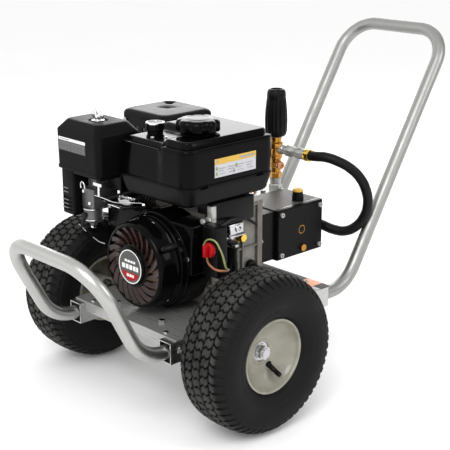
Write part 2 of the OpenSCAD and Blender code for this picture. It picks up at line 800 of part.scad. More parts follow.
// Drain plug and sight glass in the cover, valve caps and bypass elbow on the manifold
module pump_ports() {
    color("goldenrod") {
        to_right([pump_x1 + pump_cover_t, drain_at.x, drain_at.y]) {
            cylinder(r = 8, h = 6);
            translate([0, 0, -pump_cover_t]) cylinder(r = 6, h = pump_cover_t + 1);
        }
        to_right([pump_x1 + 4, sight_at.x, sight_at.y]) cylinder(r = 10, h = pump_cover_t - 4);
        for (y = plunger_y) if (y < 350) translate([-78, y, pump_z1 - 2]) {
            cylinder(r = 13, h = 5, $fn = 6);
            translate([0, 0, 4]) cylinder(r = 10, h = 5);
        }
        to_rear([-78, pump_y1 + 6, inlet_z]) {
            cylinder(r = 13, h = 7, $fn = 6);
            cylinder(r = 9, h = inlet_y + 9 - pump_y1 - 6);
        }
        to_right([-78, inlet_y, inlet_z]) cylinder(r = 8.5, h = 78);
        to_right([-20, inlet_y, inlet_z]) cylinder(r = 10.5, h = 20);
    }
}

module manifold_port(yz, depth) { to_left([manifold_x0 + depth, yz.x, yz.y]) children(); }

module pump_manifold() {
    color([0.62, 0.62, 0.6]) difference() {
        union() {
            block([manifold_x0, pump_y0 + 5, pump_z0 + 8], [pump_x0, pump_y1 + 6, pump_z1 - 2]);
            manifold_port(inlet_at, 0) cylinder(r = 18, h = 10, $fn = 6);
            manifold_port(outlet_at, 0) cylinder(r = 15, h = 8, $fn = 6);
            manifold_port(inlet_at, 0) cylinder(r = inlet_r, h = port_l);
            manifold_port(outlet_at, 0) cylinder(r = outlet_r, h = port_l);
        }
        for (y = plunger_y) to_left([pump_x0 + 1, y, shaft_z])
            cylinder(r = plunger_d / 2 + fit, h = 50);
        manifold_port(inlet_at, 20) cylinder(r = 9, h = 60);
        manifold_port(outlet_at, 20) cylinder(r = 6, h = 60);
    }
}

module plungers() {
    color("whitesmoke") for (y = plunger_y) to_left([-34, y, shaft_z]) cylinder(r = plunger_d / 2, h = 52);
}

module pump_shaft() {
    color("silver") difference() {
        union() {
            to_rear([0, pto_y + 6, shaft_z]) cylinder(r = pump_shaft_r, h = 176);
            to_rear([0, pto_y + 181, shaft_z]) cylinder(r = journal_r, h = pump_y1 - 3 - pto_y - 181);
            for (i = [0:2]) to_rear([0, plunger_y[i] - 8, shaft_z]) rotate(i * 120)
                translate([5, 0, 0]) cylinder(r = 20, h = 16);
        }
        to_rear([0, pto_y, shaft_z]) cylinder(r = 9.5 + fit, h = 64);
    }
}

module pump_oil_cap() {
    color([0.1, 0.1, 0.1]) translate([filler_at.x, filler_at.y, pump_z1]) {
        translate([0, 0, gap]) cylinder(r = 13, h = 14);
        translate([0, 0, 14]) cylinder(r = 12, h = 8);
        translate([0, 0, -10]) cylinder(r = 8, h = 12);
    }
}

module unloader_body() {
    base = pump_z1 - 2;
    color("goldenrod") translate([unloader_x, unloader_y, 0]) difference() {
        union() {
            translate([0, 0, base]) cylinder(r = 15, h = 14, $fn = 6);
            translate([0, 0, base]) cylinder(r = 11, h = 60);
            translate([0, 0, base + 32]) cylinder(r = 15, h = 40, $fn = 6);
            translate([0, 0, base + 60]) cylinder(r = 13, h = 66);
            translate([0, 0, base + 80]) cylinder(r = 16, h = 34);
            to_right([0, 0, outlet_z]) cylinder(r = 9, h = 70);
            to_right([54, 0, outlet_z]) cylinder(r = 12, h = 14, $fn = 6);
            to_right([80, 0, outlet_z]) ring(11.5, 9, 16);
            to_right([66, 0, outlet_z]) cylinder(r = 10, h = 38);
            to_left([0, 0, 418]) cylinder(r = 9, h = 24, $fn = 6);
        }
        translate([0, 0, base + 90]) cylinder(r = 6 + fit, h = 60);
    }
}

module unloader_knob() {
    low = 487;
    ribs = 12;
    color([0.07, 0.07, 0.07]) translate([unloader_x, unloader_y, low]) {
        difference() {
            union() {
                cylinder(r1 = 21, r2 = 23, h = 60);
                translate([0, 0, 60]) cylinder(r1 = 20, r2 = 15, h = 53);
                for (i = [0:ribs - 1]) rotate(i * 360 / ribs) translate([20, -2, 4]) cube([4, 4, 54]);
            }
            translate([0, 0, -1]) cylinder(r = 14, h = 26);
        }
        translate([0, 0, -24]) cylinder(r = 6, h = 60);
    }
}

// ---------- tubes swept along a line of points ----------
function at_point(p, i) = p[min(max(i, 0), len(p) - 1)];
function unit(v) = v / norm(v);
function heading(p, i) = unit(at_point(p, i + 1) - at_point(p, i - 1));
// The side direction is carried along the line, so the tube doesn't twist
function carry(side, t) = unit(side - (side * t) * t);
function sides(p, i, side) = i >= len(p) ? [] :
    let (next = carry(side, heading(p, i))) concat([next], sides(p, i + 1, next));
// Rings of points around the line, one after the other
function rings(p, r, facets, first_side) = let (side = sides(p, 0, first_side))
    [for (i = [0:len(p) - 1]) let (t = heading(p, i), u = side[i], v = cross(t, u))
        for (k = [0:facets - 1]) p[i] + r * (cos(k * 360 / facets) * u + sin(k * 360 / facets) * v)];
// Walls between neighbouring rings; start is the first ring's first vertex
function walls(count, facets, start) = [for (i = [0:count - 2], k = [0:facets - 1])
    let (n = (k + 1) % facets, a = start + i * facets, b = a + facets) [a + k, b + k, b + n, a + n]];
function reversed(faces) = [for (f = faces) [for (i = [len(f) - 1:-1:0]) f[i]]];

module solid_tube(p, r, facets) {
    last = (len(p) - 1) * facets;
    ends = [[for (k = [0:facets - 1]) k], [for (k = [facets - 1:-1:0]) last + k]];
    polyhedron(rings(p, r, facets, [0, 1, 0]), concat(walls(len(p), facets, 0), ends));
}

module hollow_tube(p, r, inner_r, facets) {
    half = len(p) * facets;
    last = half - facets;
    near_end = [for (k = [0:facets - 1]) let (n = (k + 1) % facets) [k, n, half + n, half + k]];
    far_end = [for (k = [0:facets - 1]) let (n = (k + 1) % facets)
        [last + n, last + k, half + last + k, half + last + n]];
    polyhedron(concat(rings(p, r, facets, [1, 0, 0]), rings(p, inner_r, facets, [1, 0, 0])),
        concat(walls(len(p), facets, 0), reversed(walls(len(p), facets, half)), near_end, far_end));
}

// Catmull-Rom curve through a hose's points
function mix(a, b, c, d, t) = 0.5 * (2 * b + (c - a) * t + (2 * a - 5 * b + 4 * c - d) * t * t
    + (3 * b - a - 3 * c + d) * t * t * t);
function route(p, steps) = concat([for (i = [0:len(p) - 2], s = [0:steps - 1])
    mix(at_point(p, i - 1), p[i], p[i + 1], at_point(p, i + 2), s / steps)], [p[len(p) - 1]]);

module bypass_hose() {
    color([0.08, 0.08, 0.08]) solid_tube(route(hose_points, 2), hose_d / 2, 12);
}

place() deck_plate();
place() side_rails();
place() front_bumper();
place() handle();
place() frame_bolts();
place() axle();
place() axle_nuts();
place() rear_stand();
place() rear_feet();
place() left_tyre();
place() right_tyre();
place() left_rim();
place() right_rim();
place() left_bearings();
place() right_bearings();
place() left_valve_stem();
place() right_valve_stem();
place() crankcase();
place() crankcase_cover();
place() main_bearings();
place() crankshaft();
place() flywheel();
place() piston();
place() cylinder_head();
place() rocker_cover();
place() spark_plug();
place() fan_housing();
place() recoil_cover();
place() recoil_pulley();
place() starter_grip();
place() carburetor();
place() choke_lever();
place() fuel_valve_lever();
place() throttle_lever();
place() air_cleaner_base();
place() air_filter();
place() air_cleaner_cover();
place() wing_nut();
place() muffler();
place() muffler_guard();
place() fuel_tank();
place() fuel_tank_base();
place() fuel_cap_seal();
place() fuel_cap();
place() engine_switch();
place() switch_knob();
place() oil_dipstick();
place() engine_bolts();
place() pump_adapter();
place() pump_body();
place() pump_cover();
place() pump_manifold();
place() pump_shaft();
place() plungers();
place() pump_screws();
place() pump_oil_cap();
place() pump_ports();
place() unloader_body();
place() unloader_knob();
place() bypass_hose();
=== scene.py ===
"""Looks of the pressure washer unit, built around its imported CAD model.

Places are written in millimetres with y = 0 at the axle, as at(x, y, z), which
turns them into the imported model's own frame in metres.
"""
from math import atan2, copysign, cos, pi, radians, sin, tan

import bmesh
import bpy
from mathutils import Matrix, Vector


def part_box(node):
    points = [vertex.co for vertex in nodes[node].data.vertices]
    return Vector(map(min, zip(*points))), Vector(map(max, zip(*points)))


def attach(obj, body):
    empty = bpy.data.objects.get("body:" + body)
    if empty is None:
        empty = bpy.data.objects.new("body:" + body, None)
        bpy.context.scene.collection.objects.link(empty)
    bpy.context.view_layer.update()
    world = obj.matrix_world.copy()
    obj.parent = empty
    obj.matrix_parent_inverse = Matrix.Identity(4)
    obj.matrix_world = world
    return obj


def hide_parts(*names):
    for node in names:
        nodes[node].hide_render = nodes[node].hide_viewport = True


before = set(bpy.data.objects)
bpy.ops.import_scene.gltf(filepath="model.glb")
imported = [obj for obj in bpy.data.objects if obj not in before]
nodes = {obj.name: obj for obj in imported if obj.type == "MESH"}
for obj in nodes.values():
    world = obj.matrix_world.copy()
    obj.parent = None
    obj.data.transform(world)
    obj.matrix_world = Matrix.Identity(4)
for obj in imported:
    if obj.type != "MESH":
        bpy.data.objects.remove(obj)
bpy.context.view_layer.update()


# ---------------------------------------------------------------- places and sizes
def middle(node):
    low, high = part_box(node)
    return (low + high) / 2


AXLE_Y = middle("axle").y
WHEEL_R = middle("axle").z
TRACK = middle("right_tyre").x - middle("left_tyre").x
MM = 0.001


def at(x, y, z):
    return Vector((x * MM, y * MM + AXLE_Y, z * MM))


def hub_centre(side):
    return at(side * TRACK / 2 / MM, 0, WHEEL_R / MM)


X, Y, Z = Vector((1, 0, 0)), Vector((0, 1, 0)), Vector((0, 0, 1))
SHAFT_Z = 297
CLOCK = 32  # the starter cord's angle above the horizontal


# ---------------------------------------------------------------- mesh helpers
def finish_mesh(name, mesh, sharp=35):
    for polygon in mesh.polygons:
        polygon.use_smooth = True
    mesh.set_sharp_from_angle(angle=radians(sharp))
    piece = bpy.data.objects.new(name, mesh)
    bpy.context.scene.collection.objects.link(piece)
    return piece


def from_bmesh(name, bm, sharp=35):
    bmesh.ops.recalc_face_normals(bm, faces=bm.faces)
    mesh = bpy.data.meshes.new(name)
    bm.to_mesh(mesh)
    bm.free()
    return finish_mesh(name, mesh, sharp)


def full_turn(count):
    return [2 * pi * i / count for i in range(count)]


def polar(u, v, angle):
    return u * cos(angle) + v * sin(angle)


def disc(r, height):
    """Profile of a plain round solid, for lathe."""
    return [(0.1, 0), (r, 0), (r, height), (0.1, height)]


def sides_of(axis):
    axis = axis.normalized()
    u = (X if abs(axis.x) < 0.9 else Y).cross(axis).normalized()
    return u, axis.cross(u)


def loft(name, rings, sharp=35, closed=False):
    """Skin over rings of equally many points. The ends are capped, or joined if closed."""
    bm = bmesh.new()
    rows = [[bm.verts.new(p) for p in ring] for ring in rings]
    count = len(rings[0])
    pairs = list(zip(rows, rows[1:])) + ([(rows[-1], rows[0])] if closed else [])
    for a, b in pairs:
        for i in range(count):
            j = (i + 1) % count
            bm.faces.new((a[i], a[j], b[j], b[i]))
    if not closed:
        for row in (rows[0], rows[-1]):
            centre = bm.verts.new(sum((v.co for v in row), Vector()) / count)
            for i in range(count):
                bm.faces.new((row[i], row[(i + 1) % count], centre))
    bmesh.ops.remove_doubles(bm, verts=bm.verts, dist=1e-6)
    return from_bmesh(name, bm, sharp)


def lathe(name, origin, axis, profile, segments=96, sharp=35, closed=False):
    """Solid turned around axis; profile is (radius, distance along the axis), in mm."""
    u, v = sides_of(axis)
    turns = full_turn(segments)
    rings = [[origin + axis * (h * MM) + polar(u, v, t) * (r * MM) for t in turns]
             for r, h in profile]
    return loft(name, rings, sharp, closed)


def block(name, low, high, bevel=1.5, steps=3):
    """Box between two corners in mm, with round edges."""
    bm = bmesh.new()
    bmesh.ops.create_cube(bm, size=1)
    a, b = at(*low), at(*high)
    for vert in bm.verts:
        vert.co = Vector(((a[i] + b[i]) / 2 + vert.co[i] * (b[i] - a[i])) for i in range(3))
    bmesh.ops.bevel(bm, geom=bm.edges[:], offset=bevel * MM, segments=steps, profile=0.5, affect="EDGES")
    return from_bmesh(name, bm)


def plate(name, outline, origin, u, v, thick, bevel=0.8):
    """Flat plate: outline points (a, b) in mm along u and v, thick along u x v."""
    bm = bmesh.new()
    verts = [bm.verts.new(origin + u * (a * MM) + v * (b * MM)) for a, b in outline]
    face = bm.faces.new(verts)
    rise = u.cross(v).normalized() * (thick * MM)
    new = bmesh.ops.extrude_face_region(bm, geom=[face])
    bmesh.ops.translate(bm, vec=rise, verts=[g for g in new["geom"] if isinstance(g, bmesh.types.BMVert)])
    bm.normal_update()
    if bevel:
        edges = [e for e in bm.edges if len(e.link_faces) == 2
                 and abs(e.link_faces[0].normal.dot(e.link_faces[1].normal)) < 0.5
                 and abs((e.verts[0].co - e.verts[1].co).normalized().dot(rise.normalized())) < 0.9]
        bmesh.ops.bevel(bm, geom=edges, offset=bevel * MM, segments=2, profile=0.5, affect="EDGES")
    return from_bmesh(name, bm)


def rounded_rect(w, d, r, steps=8):
    """Outline of a w x d rectangle about the origin with corner radius r."""
    points = []
    for k, (sx, sy) in enumerate(((1, 1), (-1, 1), (-1, -1), (1, -1))):
        for i in range(steps + 1):
            t = pi / 2 * (k + i / steps)
            points.append((sx * (w / 2 - r) + r * cos(t), sy * (d / 2 - r) + r * sin(t)))
    return points


def smooth_step(value, low, high):
    t = min(max((value - low) / (high - low), 0), 1)
    return t * t * (3 - 2 * t)


def wire(name, points, radius):
    """Smooth tube through points; points and radius in mm."""
    curve = bpy.data.curves.new(name, "CURVE")
    curve.dimensions = "3D"
    curve.bevel_depth = radius * MM
    curve.bevel_resolution = 6
    curve.resolution_u = 12
    curve.use_fill_caps = True
    spline = curve.splines.new("BEZIER")
    spline.bezier_points.add(len(points) - 1)
    for bezier, point in zip(spline.bezier_points, points):
        bezier.co = at(*point)
        bezier.handle_left_type = bezier.handle_right_type = "AUTO"
    piece = bpy.data.objects.new(name, curve)
    bpy.context.scene.collection.objects.link(piece)
    return piece


def join(name, pieces):
    """One mesh from several mesh pieces that share a material."""
    bm = bmesh.new()
    for piece in pieces:
        bm.from_mesh(piece.data)
        bpy.data.objects.remove(piece)
    mesh = bpy.data.meshes.new(name)
    bm.to_mesh(mesh)
    bm.free()
    return finish_mesh(name, mesh)


def wear(piece, material, body="frame", node=None):
    piece.data.materials.clear()
    piece.data.materials.append(material)
    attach(piece, body)
    if node:
        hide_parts(*node.split())
    return piece


def hexagon(origin, axis, radius, height):
    """Hexagon bolt head or nut with a chamfered top."""
    u, v = sides_of(axis)
    turns = [pi / 3 * i + 0.26 for i in range(6)]
    layers = ((radius, 0), (radius, height * 0.88), (radius * 0.9, height))
    rings = [[origin + axis * (h * MM) + polar(u, v, t) * (r * MM) for t in turns] for r, h in layers]
    return loft("hexagon", rings, 20)


# ---------------------------------------------------------------- materials
class Nodes:
    """A short way to write a shader: nodes are made and linked as they are named."""

    def __init__(self, name):
        self.material = bpy.data.materials.new(name)
        self.material.use_nodes = True
        self.tree = self.material.node_tree
        self.shader = self.tree.nodes["Principled BSDF"]

    def add(self, kind, inputs=None, **settings):
        node = self.tree.nodes.new(kind)
        for key, value in settings.items():
            setattr(node, key, value)
        for key, value in (inputs or {}).items():
            self.put(node.inputs[key], value)
        return node

    def put(self, socket, value):
        if isinstance(value, bpy.types.NodeSocket):
            self.tree.links.new(value, socket)
        elif socket.type == "RGBA" and len(value) == 3:
            socket.default_value = (*value, 1)
        else:
            socket.default_value = value

    def place(self, scale=(1, 1, 1)):
        coords = self.add("ShaderNodeTexCoord").outputs["Object"]
        return self.add("ShaderNodeMapping", {"Vector": coords, "Scale": scale}).outputs["Vector"]

    def noise(self, scale, detail=4, stretch=(1, 1, 1), rough=0.55):
        node = self.add("ShaderNodeTexNoise", {"Vector": self.place(stretch), "Scale": scale,
                                               "Detail": detail, "Roughness": rough})
        return node.outputs["Fac"]

    def span(self, value, low, high, start=0.3, end=0.7):
        node = self.add("ShaderNodeMapRange", {"Value": value, "From Min": start, "From Max": end,
                                               "To Min": low, "To Max": high})
        return node.outputs["Result"]

    def blend(self, factor, a, b):
        node = self.add("ShaderNodeMix", data_type="RGBA")
        self.put(node.inputs["Factor"], factor)
        self.put(node.inputs[6], a)
        self.put(node.inputs[7], b)
        return node.outputs[2]

    def bump(self, height, strength=0.3, distance=0.001, soft_edge=0.0):
        inputs = {"Height": height, "Strength": strength, "Distance": distance}
        if soft_edge:
            inputs["Normal"] = self.add("ShaderNodeBevel", {"Radius": soft_edge}, samples=4).outputs["Normal"]
        self.put(self.shader.inputs["Normal"], self.add("ShaderNodeBump", inputs).outputs["Normal"])

    def set(self, **values):
        for key, value in values.items():
            self.put(self.shader.inputs[key.replace("_", " ")], value)
        return self


def tint(color, factor):
    return tuple(min(1, c * factor) for c in color)


def metal(name, color, rough, grain=90, stretch=(1, 1, 1), depth=0.15, vary=0.12, edge=0.0006, metallic=1.0):
    n = Nodes(name)
    grains = n.noise(grain, 6, stretch, 0.6)
    clouds = n.noise(9, 3)
    n.set(Base_Color=n.blend(n.span(clouds, 0, 1), tint(color, 1 - vary), tint(color, 1 + vary)),
          Roughness=n.span(grains, rough * 0.8, rough * 1.25), Metallic=metallic)
    n.bump(grains, depth, 0.0004, edge)
    return n.material


def paint(name, color, rough=0.18, coat=0.0, speckle=0.05, vary=0.15, scale=350, edge=0.0008, depth=0.0004,
          shine=0.5):
    n = Nodes(name)
    fine = n.noise(scale, 3)
    clouds = n.noise(14, 4)
    n.set(Base_Color=n.blend(n.span(clouds, 0, 1), tint(color, 1 - vary), tint(color, 1 + vary)),
          Roughness=n.span(clouds, rough * 0.85, rough * 1.2), Specular_IOR_Level=shine)
    if coat:
        n.set(Coat_Weight=coat, Coat_Roughness=0.05)
    n.bump(fine, speckle, depth, edge)
    return n.material


def cast(name, color, rough=0.5):
    n = Nodes(name)
    pits = n.noise(420, 5, rough=0.7)
    stains = n.noise(30, 6)
    n.set(Base_Color=n.blend(n.span(stains, 0, 1), tint(color, 0.72), tint(color, 1.15)),
          Roughness=n.span(pits, rough * 0.85, rough * 1.2), Metallic=0.7)
    n.bump(pits, 0.5, 0.0006, 0.001)
    return n.material


def tyre_rubber():
    n = Nodes("tyre_rubber")
    fine = n.noise(600, 5)
    dust = n.noise(22, 6, rough=0.65)
    spot = n.add("ShaderNodeVectorMath", {0: n.place(), 1: tuple(at(0, 0, WHEEL_R / MM))},
                 operation="SUBTRACT")
    flat = n.add("ShaderNodeVectorMath", {0: spot.outputs[0], 1: (0, 1, 1)}, operation="MULTIPLY")
    radius = n.add("ShaderNodeVectorMath", {0: flat.outputs[0]}, operation="LENGTH").outputs["Value"]
    side = n.blend(n.span(dust, 0, 1, 0.35, 0.75), (0.002, 0.002, 0.0022), (0.0065, 0.0065, 0.007))
    worn = n.blend(n.span(dust, 0, 1, 0.35, 0.7), (0.012, 0.012, 0.012), (0.05, 0.049, 0.046))
    n.set(Base_Color=n.blend(n.span(radius, 0, 1, 0.1585, 0.1615), side, worn),
          Roughness=n.span(dust, 0.5, 0.72), Specular_IOR_Level=0.15)
    n.bump(fine, 0.25, 0.0005)
    return n.material


def label_material(name, ink, paper):
    n = Nodes(name)
    grain = n.noise(300, 2)
    n.set(Base_Color=n.blend(n.span(grain, 0, 0.2), paper, ink), Roughness=n.span(grain, 0.28, 0.4))
    return n.material


ALUMINIUM = metal("brushed_tube", (0.47, 0.47, 0.455), 0.34, 260, (1, 0.12, 0.12), 0.2, 0.05)
# The handle tube is the bumper's aluminium made darker: painted shade that tones down its highlight
HANDLE_TUBE_SHADED = metal("brushed_handle_painted_shade", (0.33, 0.33, 0.32), 0.42, 260, (1, 0.12, 0.12), 0.2, 0.05)
DECK = metal("deck_sheet", (0.36, 0.36, 0.35), 0.3, 300, (0.05, 1, 1), 0.25, 0.08, metallic=0.6)
ZINC = metal("zinc_plate", (0.5, 0.5, 0.51), 0.2, 200, depth=0.1)
CHROME = metal("chrome", (0.85, 0.85, 0.86), 0.08, 120, depth=0.02, vary=0.03)
STEEL = metal("plain_steel", (0.5, 0.5, 0.51), 0.32, 200)
BRASS = metal("brass", (0.48, 0.23, 0.045), 0.26, 220, depth=0.08)
COPPER = metal("copper", (0.5, 0.24, 0.12), 0.28, 200)
CAST = cast("cast_aluminium", (0.21, 0.2, 0.18))
COVER_CAST = cast("cover_casting", (0.21, 0.175, 0.155))
MANIFOLD = cast("manifold_casting", (0.46, 0.46, 0.44), 0.38)
PUMP_CAST = metal("pump_casting", (0.12, 0.12, 0.115), 0.5, 220, metallic=0.6)
# The deck's rear lip is a dark copy of the deck aluminium: painted shade along its edge
DECK_LIP_SHADE = metal("deck_lip_painted_shade", (0.1, 0.1, 0.1), 0.6, 220, metallic=0.3)
MUFFLER = metal("muffler_steel", (0.30, 0.28, 0.27), 0.45, 160)
GLOSS_BLACK = paint("gloss_black", (0.0012, 0.0012, 0.0014), 0.12, 0, 0.02, shine=0.07)
SATIN_BLACK = paint("satin_black", (0.003, 0.003, 0.0033), 0.34, 0, 0.12, shine=0.1)
MATT_BLACK = paint("matt_black", (0.0032, 0.0032, 0.0035), 0.4, 0, 0.3, scale=500, shine=0.07)
PLASTIC = paint("black_plastic", (0.003, 0.003, 0.003), 0.32, 0, 0.1, shine=0.12)
HOSE_RUBBER = paint("hose_rubber", (0.004, 0.004, 0.004), 0.42, 0, 0.3, scale=240, shine=0.15)
# Recoil fins: near-black paint, plus a strong brown tint varied by noise that is painted reflection
FIN_PAINT_WITH_REFLECTION = paint("recoil_paint_and_reflection", (0.016, 0.006, 0.0045), 0.2, 0, 0.05, 0.9, 60, shine=0.35)
CARB_CAST = cast("carburettor_casting", (0.13, 0.13, 0.13), 0.36)
# Grey for the strips on the vent louvres: painted highlight of the light caught on their lips
LOUVRE_HIGHLIGHT = paint("louvre_painted_highlight", (0.16, 0.16, 0.16), 0.3, 0, 0.1)
RIM_PAINT = paint("rim_enamel", (0.27, 0.26, 0.21), 0.3, 0.1, 0.12, 0.25)
RED = paint("red_plastic", (0.36, 0.003, 0.006), 0.35, 0, shine=0.15)
TYRE = tyre_rubber()
FOAM = paint("filter_foam", (0.20, 0.17, 0.12), 0.9, 0, 1.0, 0.3, 160)
LABEL_WHITE = label_material("label_white", (0.36, 0.36, 0.38), (0.5, 0.5, 0.53))
WHITE = label_material("white_print", (0.6, 0.6, 0.6), (0.82, 0.82, 0.8))
YELLOW = label_material("yellow_print", (0.4, 0.22, 0.02), (0.62, 0.38, 0.05))
ORANGE = label_material("orange_print", (0.4, 0.1, 0.02), (0.85, 0.28, 0.10))
GREY_PRINT = label_material("grey_print", (0.12, 0.12, 0.12), (0.33, 0.33, 0.33))
LABEL_GREY = label_material("label_grey", (0.05, 0.05, 0.05), (0.11, 0.11, 0.11))
DARK_PRINT = label_material("dark_print", (0.02, 0.02, 0.02), (0.06, 0.06, 0.06))
GREEN = label_material("green_print", (0.12, 0.2, 0.04), (0.2, 0.3, 0.1))
GOLD = metal("gold_plate", (0.72, 0.46, 0.08), 0.2, 200)
RAIL = metal("rail_aluminium", (0.5, 0.5, 0.49), 0.3, 280, (1, 0.08, 1), 0.2, 0.06)
BRONZE_DARK = metal("dark_bronze", (0.12, 0.08, 0.06), 0.4, 160)
WIRE_GREEN = paint("green_wire", (0.25, 0.28, 0.1), 0.35, 0.1)
WIRE_BROWN = paint("brown_wire", (0.32, 0.12, 0.06), 0.4, 0.1)


# ---------------------------------------------------------------- camera, floor and light
AZIMUTH, PITCH = radians(46.49), radians(17.335)
CAMERA, LENS = (1686, -1435.5, 1054.8), 88.19
AIM_HEIGHT = 0.35  # where the lights point, above the middle of the floor


def link(name, data):
    made = bpy.data.objects.new(name, data)
    bpy.context.scene.collection.objects.link(made)
    return made


def aim(thing, place, forward):
    thing.location = place
    thing.rotation_euler = forward.to_track_quat("-Z", "Y").to_euler()


def make_camera():
    data = bpy.data.cameras.new("camera")
    data.lens = LENS
    data.clip_end = 100
    camera = link("camera", data)
    level = cos(PITCH)
    forward = Vector((-sin(AZIMUTH) * level, cos(AZIMUTH) * level, -sin(PITCH)))
    aim(camera, at(*CAMERA), forward)
    bpy.context.scene.camera = camera


def make_floor():
    bm = bmesh.new()
    bmesh.ops.create_grid(bm, x_segments=1, y_segments=1, size=40)
    floor = from_bmesh("floor", bm)
    n = Nodes("floor_paper")
    n.set(Base_Color=n.blend(n.span(n.noise(2, 2), 0, 1), (0.96, 0.96, 0.96), (0.97, 0.97, 0.97)),
          Roughness=0.9, Specular_IOR_Level=0.0)
    floor.data.materials.append(n.material)


def softbox(name, place, power, width, height):
    data = bpy.data.lights.new(name, "AREA")
    data.shape = "RECTANGLE"
    data.size = width
    data.size_y = height
    data.energy = power
    lamp = link(name, data)
    aim(lamp, place, Vector((0, 0, AIM_HEIGHT)) - place)
    lamp.visible_camera = False


def make_light():
    world = bpy.data.worlds.new("studio")
    world.use_nodes = True
    tree = world.node_tree
    coords = tree.nodes.new("ShaderNodeTexCoord")
    split = tree.nodes.new("ShaderNodeSeparateXYZ")
    ramp = tree.nodes.new("ShaderNodeValToRGB")
    ramp.color_ramp.interpolation = "EASE"
    stops = ramp.color_ramp.elements
    stops[0].position, stops[0].color = 0.0, (0.9, 0.9, 0.9, 1)
    stops[1].position, stops[1].color = 1.0, (0.7, 0.7, 0.7, 1)
    for place, level in ((0.2, 1.0), (0.5, 0.9), (0.62, 0.7)):
        stop = stops.new(place)
        stop.color = (level, level, level, 1)
    tree.links.new(coords.outputs["Generated"], split.inputs[0])
    tree.links.new(split.outputs["Z"], ramp.inputs["Fac"])
    side = tree.nodes.new("ShaderNodeVectorMath")
    side.operation = "DOT_PRODUCT"
    side.inputs[1].default_value = (0.69, 0.72, 0)
    shade = tree.nodes.new("ShaderNodeMapRange")
    for socket, value in (("From Min", 0.35), ("From Max", 0.9), ("To Min", 1.0), ("To Max", 0.35)):
        shade.inputs[socket].default_value = value
    dim = tree.nodes.new("ShaderNodeMix")
    dim.data_type, dim.blend_type = "RGBA", "MULTIPLY"
    dim.inputs["Factor"].default_value = 1
    tree.links.new(coords.outputs["Generated"], side.inputs[0])
    tree.links.new(side.outputs["Value"], shade.inputs["Value"])
    tree.links.new(ramp.outputs["Color"], dim.inputs[6])
    tree.links.new(shade.outputs["Result"], dim.inputs[7])
    tree.links.new(dim.outputs[2], tree.nodes["Background"].inputs["Color"])
    tree.nodes["Background"].inputs["Strength"].default_value = 1.4
    bpy.context.scene.world = world
    softbox("key_light", Vector((1.4, -2.2, 2.6)), 50, 1.6, 1.6)
    softbox("back_light", Vector((-2.1, 2.3, 1.5)), 30, 3.0, 1.4)
    softbox("side_light", Vector((2.6, 1.2, 1.8)), 24, 1.4, 1.4)
    bpy.context.scene.view_settings.view_transform = "Standard"


# The route of part.scad's hose_points
HOSE_POINTS = [(42, 388, 457), (62, 389, 458), (86, 397, 459), (110, 410, 452), (131, 427, 438),
               (147, 446, 414), (155, 460, 383), (154, 469, 350), (146, 468, 318), (130, 458, 292),
               (108, 446, 279), (84, 436, 279), (58, 428, 285), (30, 424, 290), (0, 424, 290)]
HOSE_R = 11.5


def bypass_hose():
    hose = wire("hose", HOSE_POINTS, HOSE_R)
    wear(hose, HOSE_RUBBER, node="bypass_hose")


make_camera()
bypass_hose()
make_floor()
make_light()


# ---------------------------------------------------------------- cart
LEG_X, TUBE_Z, TUBE_R, LEG_BEND = 148.5, 165, 15, 90
RAIL_OUT = 166


def swept(name, line, radius, sides=32):
    """Round bar or tube along a line of points in the model's frame; radius in mm."""
    rings = []
    u = sides_of(line[1] - line[0])[0]
    for k, p in enumerate(line):
        ahead = (line[min(k + 1, len(line) - 1)] - line[max(k - 1, 0)]).normalized()
        u = (u - ahead * u.dot(ahead)).normalized()
        v = ahead.cross(u)
        turns = full_turn(sides)
        rings.append([p + polar(u, v, t) * (radius * MM) for t in turns])
    return loft(name, rings)


def frame_line(inside, foot, reach, top, corner_r, toward):
    """Middle line of a U-shaped tube: along the rail, up as a leg, round into the cross bar."""
    angle = atan2(top - TUBE_Z, reach - foot)
    cut = LEG_BEND * tan(angle / 2)
    up = Vector((0, toward * cos(angle), sin(angle)))
    corner = Vector((LEG_X - corner_r, toward * reach, top)) - corner_r * up
    half = [Vector((LEG_X, toward * inside, TUBE_Z))]
    for k in range(13):
        a = angle * k / 12
        half.append(Vector((LEG_X, toward * (foot - cut + LEG_BEND * sin(a)),
                            TUBE_Z + LEG_BEND * (1 - cos(a)))))
    for k in range(19):
        a = pi / 2 * k / 18
        half.append(corner + corner_r * (X * cos(a) + up * sin(a)))
    return [at(*p) for p in half + [Vector((-p.x, p.y, p.z)) for p in reversed(half)]]


def frame_tubes():
    bumper = swept("bumper_tube", frame_line(60, 199, 306, 369, 85, -1), TUBE_R)
    wear(bumper, ALUMINIUM, node="front_bumper")
    handle = swept("handle_tube", frame_line(240, 405, 752, 715, 80, 1), TUBE_R)
    wear(handle, HANDLE_TUBE_SHADED, node="handle")


def rail_trim():
    """Washers and screws on the rails, and screws on the deck."""
    heads = []
    for side in (-1, 1):
        for y in (-110, 290):
            heads.append(lathe("w", at(side * RAIL_OUT, y, TUBE_Z), X * side, disc(11, 1.6)))
        for y in (60, 150, 250):
            heads.append(hexagon(at(side * RAIL_OUT, y, 176), X * side, 5.5, 4))
    for x in (-120, 120):
        for y in (-112, 288):
            heads.append(lathe("s", at(x, y, 190), Z, [(0.1, 0), (6, 0), (5.5, 2), (3, 3.2), (0.1, 3.4)]))
    wear(join("rail_screws", heads), ZINC)


